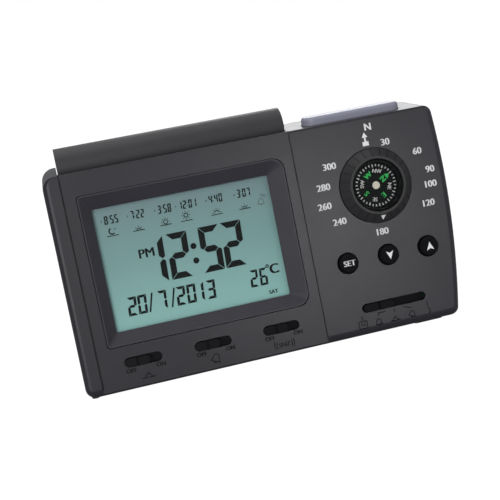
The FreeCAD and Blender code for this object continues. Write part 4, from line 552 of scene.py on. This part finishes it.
def dome(bm, x, z, across, wide):
    """Outline of a dome with a spire, on a base line."""
    radius = across * 0.26
    spire = radius * 1.7
    bow(bm, x, z, radius, wide, 0, 180)
    bar(bm, x - across / 2, z, x + across / 2, z, wide)
    bar(bm, x, z + radius, x, z + spire, wide)


def polar(radius, angle):
    """A point by its radius from the dial's centre and its angle clockwise from straight up."""
    turn = math.radians(angle)
    return Vector((DIAL_X + radius * math.sin(turn), DIAL_Z + radius * math.cos(turn)))


def pour(part, bm):
    """Add a finished part to a larger one."""
    mesh = bpy.data.meshes.new("part")
    part.to_mesh(mesh)
    part.free()
    bm.from_mesh(mesh)
    bpy.data.meshes.remove(mesh)


def thicken(bm, thick):
    grown = bmesh.ops.extrude_face_region(bm, geom=list(bm.faces), use_keep_orig=True)
    raised = [v for v in grown["geom"] if isinstance(v, bmesh.types.BMVert)]
    bmesh.ops.translate(bm, verts=raised, vec=(0, 0, thick))
    bmesh.ops.recalc_face_normals(bm, faces=bm.faces)


def piece(bm, name, body, material, level, thick):
    """Give flat marks their thickness, set them on the clock's face and let them ride on a body."""
    bmesh.ops.remove_doubles(bm, verts=bm.verts, dist=1e-4)
    for face in bm.faces:
        face.normal_update()
        if face.normal.z < 0:
            face.normal_flip()
    thicken(bm, thick)
    bmesh.ops.transform(bm, matrix=FACE @ Matrix.Translation((0, 0, level)), verts=bm.verts)
    settle(bm, name, body, material)


def settle(bm, name, body, material):
    """Turn a bmesh in the row frame into a piece of the clock."""
    mesh = bpy.data.meshes.new(name)
    bm.to_mesh(mesh)
    bm.free()
    mesh.materials.append(material)
    item = bpy.data.objects.new(name, mesh)
    bpy.context.scene.collection.objects.link(item)
    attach(item, body)


# Operators
class CLOCK_OT_case(bpy.types.Operator):
    """Finish the shells, the stand, the battery cover and the rubber feet"""
    bl_idname = "azan_clock.case"
    bl_label = "Case and stand"

    def execute(self, context):
        shell = colors().case
        paint(moulded("case_charcoal", shell, 0.34, height=0.000012),
              "front_case", "rear_case", "battery_cover")
        # The frame is the case's colour made lighter, as painted light on its slopes
        paint(moulded("frame_charcoal", shaded(shell, FRAME_PAINTED_LIGHT), 0.42, height=0.000012),
              "display_frame")
        # The stand's colour is lighter than the case's, as painted light on its top
        paint(moulded("stand_charcoal", colors().bar, 0.48), "stand_leg")
        paint(rubber("rubber_black", (0.025, 0.025, 0.025)), "foot_pads", "stand_pad")
        paint(steel(), "case_screws", "stand_pins")
        return {"FINISHED"}


class CLOCK_OT_display(bpy.types.Operator):
    """Lay the display's segments and marks on its glass, under the clear window"""
    bl_idname = "azan_clock.display"
    bl_label = "Display"

    def execute(self, context):
        paint(display_teal("lcd_teal"), "display_glass")
        paint(clear("window_clear", 0.06), "display_lens")
        paint(moulded("guide_milky", (0.78, 0.8, 0.78), 0.35, height=0.000004, change=0.03),
              "light_guide")
        paint(striped("strip_zebra"), "contact_strip")
        dark = ink("segment_black", (0.008, 0.009, 0.009))
        self.time(dark)
        self.date(dark)
        self.prayer_times(dark)
        self.icon()
        return {"FINISHED"}

    def time(self, dark):
        bm = bmesh.new()
        for sign, x in TIME_DIGITS:
            digit(bm, sign, x, TIME_BASE, TIME_WIDE, TIME_TALL, TIME_BAR, TIME_SLANT)
        for z in (COLON_LOW, COLON_HIGH):
            dot(bm, COLON_X, z, COLON_DOT)
        lettering(bm, "PM", *TIME_WORD, weight=0.16)
        piece(bm, "display_time", "case", dark, LCD_FACE, INK)

    def date(self, dark):
        """The date, the day and the temperature."""
        bm = bmesh.new()
        for sign, x in DATE_DIGITS:
            digit(bm, sign, x, DATE_BASE, DATE_WIDE, DATE_TALL, DATE_BAR, DATE_SLANT)
        for x in DATE_SLASHES:
            bar(bm, x, DATE_BASE, x + SLASH_RUN, DATE_BASE + DATE_TALL, SLASH_BAR)
        for sign, x in HEAT_DIGITS:
            digit(bm, sign, x, HEAT_BASE, HEAT_WIDE, HEAT_TALL, HEAT_BAR, DATE_SLANT)
        bow(bm, *HEAT_RING, HEAT_RING_BAR, 0, 360, 12)
        lettering(bm, "C", *HEAT_LETTER, weight=0.26)
        lettering(bm, "SAT", *DAY_WORD, weight=0.1)
        piece(bm, "display_date", "case", dark, LCD_FACE, INK)

    def prayer_times(self, dark):
        bm = bmesh.new()
        for number, (signs, x, hours) in enumerate(PRAYER_TIMES):
            for k, sign in enumerate(signs):
                shift = k * PRAYER_STEP + (PRAYER_COLON if k >= hours else 0)
                digit(bm, sign, x + shift, PRAYER_BASE, PRAYER_WIDE, PRAYER_TALL, PRAYER_BAR,
                      DATE_SLANT)
            for level in SMALL_COLON_LEVELS:
                dot(bm, x + hours * PRAYER_STEP + SMALL_COLON_SHIFT, PRAYER_BASE + level,
                    SMALL_DOT, 8)
            lettering(bm, "A" if number in MORNING_TIMES else "P", x + HALF_DAY_SHIFT,
                      PRAYER_BASE + HALF_DAY_LEVEL, HALF_DAY_TALL)
            self.sky_mark(bm, number, x + SKY_SHIFT, PRAYER_BASE + SKY_LEVEL)
        piece(bm, "prayer_times", "case", dark, LCD_FACE, INK)

    def sky_mark(self, bm, number, x, z):
        """The sun's or the moon's place for one of the six times."""
        bar(bm, x - HORIZON_HALF, z - HORIZON_DROP, x + HORIZON_HALF, z - HORIZON_DROP, SKY_BAR)
        if number not in SUN_LEVELS:
            bow(bm, x, z, MOON_RADIUS, MOON_BAR, 110, 200)
            dot(bm, x + STAR_SHIFT, z + STAR_LIFT, STAR_RADIUS, 8)
            return
        level = z + SUN_LEVELS[number]
        whole = number in WHOLE_SUNS
        bow(bm, x, level, SUN_RADIUS, SKY_BAR, 0, 360 if whole else 180)
        for angle in range(0, 360 if whole else 181, 45):
            turn = math.radians(angle)
            bar(bm, x + RAY_INNER * math.cos(turn), level + RAY_INNER * math.sin(turn),
                x + RAY_OUTER * math.cos(turn), level + RAY_OUTER * math.sin(turn), SKY_BAR * 0.8)

    def icon(self):
        """The faint bell of a segment that is off."""
        bm = bmesh.new()
        bell(bm, *OFF_BELL, 0, OFF_BAR)
        for radius in OFF_WAVE_RADII:
            bow(bm, *OFF_WAVES, radius, OFF_BAR, 30, 60, 6)
        faint = ink("segment_faint", (0.12, 0.17, 0.17))
        piece(bm, "display_faint", "case", faint, LCD_FACE, INK)


class CLOCK_OT_dial(bpy.types.Operator):
    """Finish the turning ring and print the numbers, the arrow and the pointer"""
    bl_idname = "azan_clock.dial"
    bl_label = "Dial"

    def execute(self, context):
        paint(moulded("dial_satin", (0.017, 0.017, 0.018), 0.42, height=0.00001, gloss=0.26),
              "dial_ring")
        paint(moulded("retainer_black", (0.04, 0.04, 0.042), 0.55), "dial_retainer")
        paint(steel(), "dial_screws")
        bm = bmesh.new()
        for number, x, z in BEARINGS:
            lettering(bm, number, x, z, sizes().number_height / MM, weight=0.12)
        lettering(bm, "N", *NORTH_LETTER, weight=0.14)
        low, high, half = ARROW_FOOT
        patch(bm, [(ARROW_X - half, low), (ARROW_X + half, low),
                   (ARROW_X + half, high), (ARROW_X - half, high)])
        low, high, half = ARROW_SHAFT
        bar(bm, ARROW_X, low, ARROW_X, high, 2 * half)
        low, high, half = ARROW_HEAD
        patch(bm, [(ARROW_X - half, low), (ARROW_X + half, low), (ARROW_X, high)])
        piece(bm, "dial_numbers", "case", white_print(), 0, PRINT)
        self.pointer()
        return {"FINISHED"}

    def pointer(self):
        """White pointer printed on the ring's slope, at its lowest place."""
        fall = math.atan2(SLOPE_HIGH - SLOPE_LOW, SLOPE_OUTER - SLOPE_INNER)
        bm = bmesh.new()
        patch(bm, [(-POINTER_HALF, POINTER_INNER), (POINTER_HALF, POINTER_INNER),
                   (0, POINTER_OUTER)])
        thicken(bm, PRINT)
        slope = (Matrix.Translation((0, SLOPE_INNER, SLOPE_HIGH)) @ Matrix.Rotation(-fall, 4, "X")
                 @ Matrix.Diagonal((1, 1 / math.cos(fall), 1, 1))
                 @ Matrix.Translation((0, -SLOPE_INNER, 0)))
        lowest = Matrix.Translation((DIAL_X, DIAL_Z, 0)) @ Matrix.Rotation(math.pi, 4, "Z")
        bmesh.ops.transform(bm, matrix=FACE @ lowest @ slope, verts=bm.verts)
        settle(bm, "dial_pointer", "dial", white_print())


class CLOCK_OT_compass(bpy.types.Operator):
    """Print the compass card and finish its housing, lens, pivot and magnet"""
    bl_idname = "azan_clock.compass"
    bl_label = "Compass"

    def execute(self, context):
        paint(moulded("compass_black", (0.005, 0.005, 0.005), 0.28, height=0.000004),
              "compass_base")
        paint(moulded("card_black", (0.004, 0.005, 0.004), 0.5, height=0.000003, gloss=0.1),
              "compass_card")
        paint(clear("lens_clear", 0.07), "compass_lens")
        paint(metal("magnet_steel", (0.3, 0.3, 0.32), 0.38), "compass_magnet")
        paint(metal("pivot_brass", (0.7, 0.55, 0.3), 0.25), "compass_pivot")
        self.green_marks()
        self.white_marks()
        bm = bmesh.new()
        dot(bm, DIAL_X, DIAL_Z, DOT_RADIUS, 32)
        cream = ink("dot_cream", (0.80, 0.76, 0.62))
        piece(bm, "compass_dot", "compass_card", cream, CARD_FACE + DOT_LIFT, PRINT)
        return {"FINISHED"}

    def mark(self, bm, letters, bearing, radius, tall, weight):
        angle = CARD_TURN + bearing
        lettering(bm, letters, *polar(radius, angle), tall, angle, weight)

    def green_marks(self):
        bm = bmesh.new()
        for letters, bearing, radius in GREEN_LETTERS:
            self.mark(bm, letters, bearing, radius, GREEN_TALL, 0.13)
        turn = math.radians(CARD_TURN)
        side = Vector((math.cos(turn), -math.sin(turn))) * TIP_HALF
        base = polar(TIP_INNER, CARD_TURN)
        patch(bm, [base - side, base + side, polar(TIP_OUTER, CARD_TURN)])
        green = ink("card_green", colors().compass_green)
        piece(bm, "compass_green", "compass_card", green, CARD_FACE, PRINT)

    def white_marks(self):
        bm = bmesh.new()
        for letters, bearing in WHITE_LETTERS:
            self.mark(bm, letters, bearing, WHITE_RADIUS, WHITE_TALL, 0.07)
        for bearing in range(0, 360, TICK_EVERY):
            angle = CARD_TURN + bearing
            inner = TICK_INNER if bearing % LONG_TICK_EVERY else LONG_TICK_INNER
            bar(bm, *polar(inner, angle), *polar(TICK_OUTER, angle), TICK_BAR)
        white = ink("card_white", (0.72, 0.73, 0.70))
        piece(bm, "compass_white", "compass_card", white, CARD_FACE, PRINT)


class CLOCK_OT_buttons(bpy.types.Operator):
    """Finish the three round buttons and the long top button, and print their marks"""
    bl_idname = "azan_clock.buttons"
    bl_label = "Buttons"

    def execute(self, context):
        paint(moulded("button_satin", (0.005, 0.005, 0.006), 0.5, height=0.000008, gloss=0.07),
              "set_button", "down_button", "up_button")
        paint(moulded("button_grey", colors().top_button, 0.34, height=0.000006, change=0.03),
              "snooze_button")
        bm = bmesh.new()
        lettering(bm, "SET", BUTTONS["set"], BUTTON_ROW, SET_TALL, weight=0.1)
        piece(bm, "set_print", "set_button", white_print(), CAP_FACE, PRINT)
        for name, way in (("down", -1), ("up", 1)):
            x = BUTTONS[name]
            bm = bmesh.new()
            patch(bm, [(x, BUTTON_ROW + way * HEAD_TIP),
                       (x + HEAD_HALF, BUTTON_ROW - way * HEAD_TAIL),
                       (x, BUTTON_ROW - way * HEAD_NOTCH),
                       (x - HEAD_HALF, BUTTON_ROW - way * HEAD_TAIL)])
            piece(bm, f"{name}_print", f"{name}_button", white_print(),
                  CAP_FACE, PRINT)
        return {"FINISHED"}


class CLOCK_OT_switches(bpy.types.Operator):
    """Finish the sliding knobs and mark their slots"""
    bl_idname = "azan_clock.switches"
    bl_label = "Switches"

    def execute(self, context):
        paint(moulded("knob_satin", (0.005, 0.005, 0.006), 0.45, height=0.00001, gloss=0.12),
              "azan_knob", "alarm_knob", "snooze_knob", "function_knob")
        # The labels are the case's colour made darker, as painted shade in the engraved lettering
        engraving_shade = moulded("label_dark", shaded(colors().case, LABEL_PAINTED_SHADE), 0.5, gloss=0.1)
        tall = sizes().label_height / MM
        bm = bmesh.new()
        for x in SLOTS:
            lettering(bm, "OFF", x + OFF_SHIFT, OFF_LEVEL, tall, weight=0.07)
            lettering(bm, "ON", x + ON_SHIFT, ON_LEVEL, tall, weight=0.07)
        dome(bm, *SLOT_DOME, LABEL_BAR)
        bell(bm, *SLOT_BELL, SLOT_BELL_TURN, LABEL_BAR)
        lettering(bm, "SNZ", *SLOT_WORD, weight=0.05)
        for side, middle in ((-1, 180), (1, 0)):
            for radius in WAVE_RADII:
                x = SLOT_WORD[0] + side * (radius - WAVE_RADII[0]) * WAVE_SPREAD
                bow(bm, x, WAVE_LEVEL, radius, LABEL_BAR, middle - WAVE_SWEEP / 2, WAVE_SWEEP, 6)
        piece(bm, "section_labels", "case", engraving_shade, SECTION_FACE, PRINT)
        bm = bmesh.new()
        self.function_labels(bm)
        piece(bm, "function_labels", "case", engraving_shade, 0, PRINT)
        return {"FINISHED"}

    def function_labels(self, bm):
        """Icons and leader lines under the long slot."""
        lettering(bm, "N", *FUNCTION_LETTER)
        for ends in FUNCTION_LINES:
            bar(bm, *ends, LABEL_BAR)
        bell(bm, *FUNCTION_BELL, 0, LABEL_BAR)
        dome(bm, *FUNCTION_DOME, LABEL_BAR)
        bell(bm, *FUNCTION_TURNED_BELL, FUNCTION_BELL_TURN, LABEL_BAR)
        bow(bm, *FUNCTION_BOW, LABEL_BAR, -70, 140, 10)


class CLOCK_OT_electronics(bpy.types.Operator):
    """Finish the boards, their parts, the keypad and the small screws"""
    bl_idname = "azan_clock.electronics"
    bl_label = "Electronics"

    def execute(self, context):
        paint(board_mask("board_green"), "main_board", "key_board", "snooze_board")
        paint(moulded("resin_black", (0.014, 0.014, 0.014), 0.3, grain=0.0015, height=0.00008),
              "controller_chip")
        paint(moulded("chip_black", (0.02, 0.02, 0.02), 0.5), "voice_memory", "snooze_switch",
              "thermistor")
        resistor = Finish("resistor_ends", (0.03, 0.03, 0.03), 0.45).mottled(0.0009, 0.5)
        paint(resistor.material, "chip_resistors")
        paint(metal("can_tinned", (0.66, 0.66, 0.68), 0.26, (1, 1, 6)),
              "timing_crystal", "slide_switches", "function_switch")
        paint(rubber("silicone_grey", (0.30, 0.30, 0.31)), "keypad")
        paint(steel(), "board_screws", "key_screws")
        return {"FINISHED"}


class CLOCK_OT_sound(bpy.types.Operator):
    """Finish the speaker"""
    bl_idname = "azan_clock.sound"
    bl_label = "Speaker"

    def execute(self, context):
        paint(metal("basket_steel", (0.5, 0.5, 0.52), 0.4), "speaker_frame")
        paint(moulded("cone_paper", (0.035, 0.034, 0.033), 0.85, grain=0.0006, height=0.00004),
              "speaker_cone")
        paint(moulded("ferrite_grey", (0.10, 0.10, 0.11), 0.6, grain=0.0002, height=0.00001),
              "speaker_magnet")
        felt = Finish("felt_black", (0.04, 0.04, 0.04), 0.95).mottled(0.0006, 0.3)
        felt.grain(0.0003, 0.00006, 6.0).shader.inputs["Sheen Weight"].default_value = 0.4
        paint(felt.material, "speaker_gasket")
        return {"FINISHED"}


class CLOCK_OT_power(bpy.types.Operator):
    """Finish the cells, contacts and springs"""
    bl_idname = "azan_clock.power"
    bl_label = "Power"

    def execute(self, context):
        bare, dark, print_blue = (0.50, 0.50, 0.52), (0.08, 0.14, 0.26), (0.09, 0.15, 0.28)
        wrap = Finish("cell_wrap", dark, 0.3)
        low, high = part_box("batteries")
        edge = 0.05
        wrap.colored(wrap.ramp(wrap.along(ACROSS, low.x, high.x), (
            (0.0, (0.55, 0.55, 0.56)), (edge, dark), (0.7, print_blue), (0.72, bare),
            (1 - edge, bare)))).rough(0.003, 0.24, 0.4)
        paint(wrap.material, "batteries")
        paint(metal("contact_nickel", (0.72, 0.68, 0.56), 0.3), "battery_contacts")
        paint(metal("spring_steel", (0.6, 0.6, 0.6), 0.25), "battery_springs")
        return {"FINISHED"}


class CLOCK_OT_stage(bpy.types.Operator):
    """Set out the pale floor, the soft lamps, the white surroundings and the camera"""
    bl_idname = "azan_clock.stage"
    bl_label = "Stage"

    def execute(self, context):
        bpy.context.scene.view_settings.view_transform = "Standard"
        self.floor()
        self.surroundings()
        for name, place, across, power in LAMPS:
            lamp = self.lamp(name, place, across, power)
            if name == SHEEN_LAMP:
                self.sheen(lamp)
        self.camera()
        return {"FINISHED"}

    def seen_straight(self, tree):
        """1 for rays that show a surface to the camera, straight or through glass."""
        path = tree.nodes.new("ShaderNodeLightPath")
        pick = tree.nodes.new("ShaderNodeMath")
        pick.operation = "MAXIMUM"
        tree.links.new(path.outputs["Is Camera Ray"], pick.inputs[0])
        tree.links.new(path.outputs["Is Transmission Ray"], pick.inputs[1])
        return pick.outputs[0]

    def blend(self, tree, share, first, second, output):
        """Mix two shaders into a tree's output, by a share from 0 to 1."""
        mix = tree.nodes.new("ShaderNodeMixShader")
        for source, entry in zip((share, first, second), mix.inputs):
            tree.links.new(source, entry)
        out = next(n for n in tree.nodes if n.type == output)
        tree.links.new(mix.outputs[0], out.inputs["Surface"])

    def floor(self):
        bm = bmesh.new()
        bmesh.ops.create_grid(bm, x_segments=8, y_segments=8, size=sizes().floor_reach)
        mesh = bpy.data.meshes.new("floor")
        bm.to_mesh(mesh)
        bm.free()
        finish = Finish("floor_pale", FLOOR_COLOR, 0.9)
        glow = finish.node("ShaderNodeEmission")
        glow.inputs["Strength"].default_value = FLOOR_GLOW
        share = finish.node("ShaderNodeMath", operation="MULTIPLY")
        share.inputs[1].default_value = GLOW_SHARE
        finish.join(self.seen_straight(finish.tree), share.inputs[0])
        self.blend(finish.tree, share.outputs[0], finish.shader.outputs[0], glow.outputs[0],
                   "OUTPUT_MATERIAL")
        mesh.materials.append(finish.material)
        item = bpy.data.objects.new("floor", mesh)
        bpy.context.scene.collection.objects.link(item)

    def surroundings(self):
        """White to the camera, and softer for the light that falls on the clock."""
        world = bpy.data.worlds.new("surroundings")
        world.use_nodes = True
        bpy.context.scene.world = world
        tree = world.node_tree
        soft = next(n for n in tree.nodes if n.type == "BACKGROUND")
        soft.inputs["Color"].default_value = SOFT_COLOR
        soft.inputs["Strength"].default_value = SOFT_STRENGTH
        white = tree.nodes.new("ShaderNodeBackground")
        white.inputs["Color"].default_value = (1, 1, 1, 1)
        white.inputs["Strength"].default_value = 1.0
        self.blend(tree, self.seen_straight(tree), soft.outputs[0], white.outputs[0],
                   "OUTPUT_WORLD")

    def lamp(self, name, place, across, power):
        light = bpy.data.lights.new(name, "AREA")
        light.shape = "SQUARE"
        light.size = across
        light.energy = power
        item = bpy.data.objects.new(name, light)
        item.location = place
        item.rotation_euler = (AIM - item.location).to_track_quat("-Z", "Y").to_euler()
        bpy.context.scene.collection.objects.link(item)
        return item

    def sheen(self, lamp):
        """Let a lamp light only the pieces round the display and the dial, as a broad sheen."""
        receivers = bpy.data.collections.new("sheen_receivers")
        for name in SHEEN_NODES:
            receivers.objects.link(frame["nodes"][name])
        lamp.light_linking.receiver_collection = receivers

    def camera(self):
        view = bpy.data.cameras.new("camera")
        view.lens = CAMERA_LENS
        view.sensor_width = CAMERA_SENSOR
        view.clip_start = CAMERA_NEAR
        item = bpy.data.objects.new("camera", view)
        turn = Matrix((CAMERA_RIGHT, -CAMERA_DOWN, -CAMERA_FORWARD)).transposed()
        item.matrix_world = Matrix.Translation(CAMERA_PLACE) @ turn.to_4x4()
        bpy.context.scene.collection.objects.link(item)
        bpy.context.scene.camera = item


STEPS = (CLOCK_OT_case, CLOCK_OT_display, CLOCK_OT_dial, CLOCK_OT_compass, CLOCK_OT_buttons,
         CLOCK_OT_switches, CLOCK_OT_electronics, CLOCK_OT_sound, CLOCK_OT_power, CLOCK_OT_stage)


class CLOCK_PT_panel(bpy.types.Panel):
    """Steps that dress the clock, with its sizes and colours"""
    bl_label = "Azan clock"
    bl_idname = "CLOCK_PT_panel"
    bl_space_type = "VIEW_3D"
    bl_region_type = "UI"
    bl_category = "Azan clock"

    def draw(self, context):
        for group in (context.scene.clock_colors, context.scene.clock_sizes):
            for name in group.__annotations__:
                self.layout.prop(group, name)
        for step in STEPS:
            self.layout.operator(step.bl_idname)


CLASSES = (ClockColors, ClockSizes, *STEPS, CLOCK_PT_panel)


def register():
    for item in CLASSES:
        bpy.utils.register_class(item)
    bpy.types.Scene.clock_colors = PointerProperty(type=ClockColors)
    bpy.types.Scene.clock_sizes = PointerProperty(type=ClockSizes)


def unregister():
    del bpy.types.Scene.clock_sizes
    del bpy.types.Scene.clock_colors
    for item in reversed(CLASSES):
        bpy.utils.unregister_class(item)


def main():
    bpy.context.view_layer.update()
    register()
    for step in STEPS:
        group, name = step.bl_idname.split(".")
        getattr(getattr(bpy.ops, group), name)()


if __name__ == "__main__":
    main()
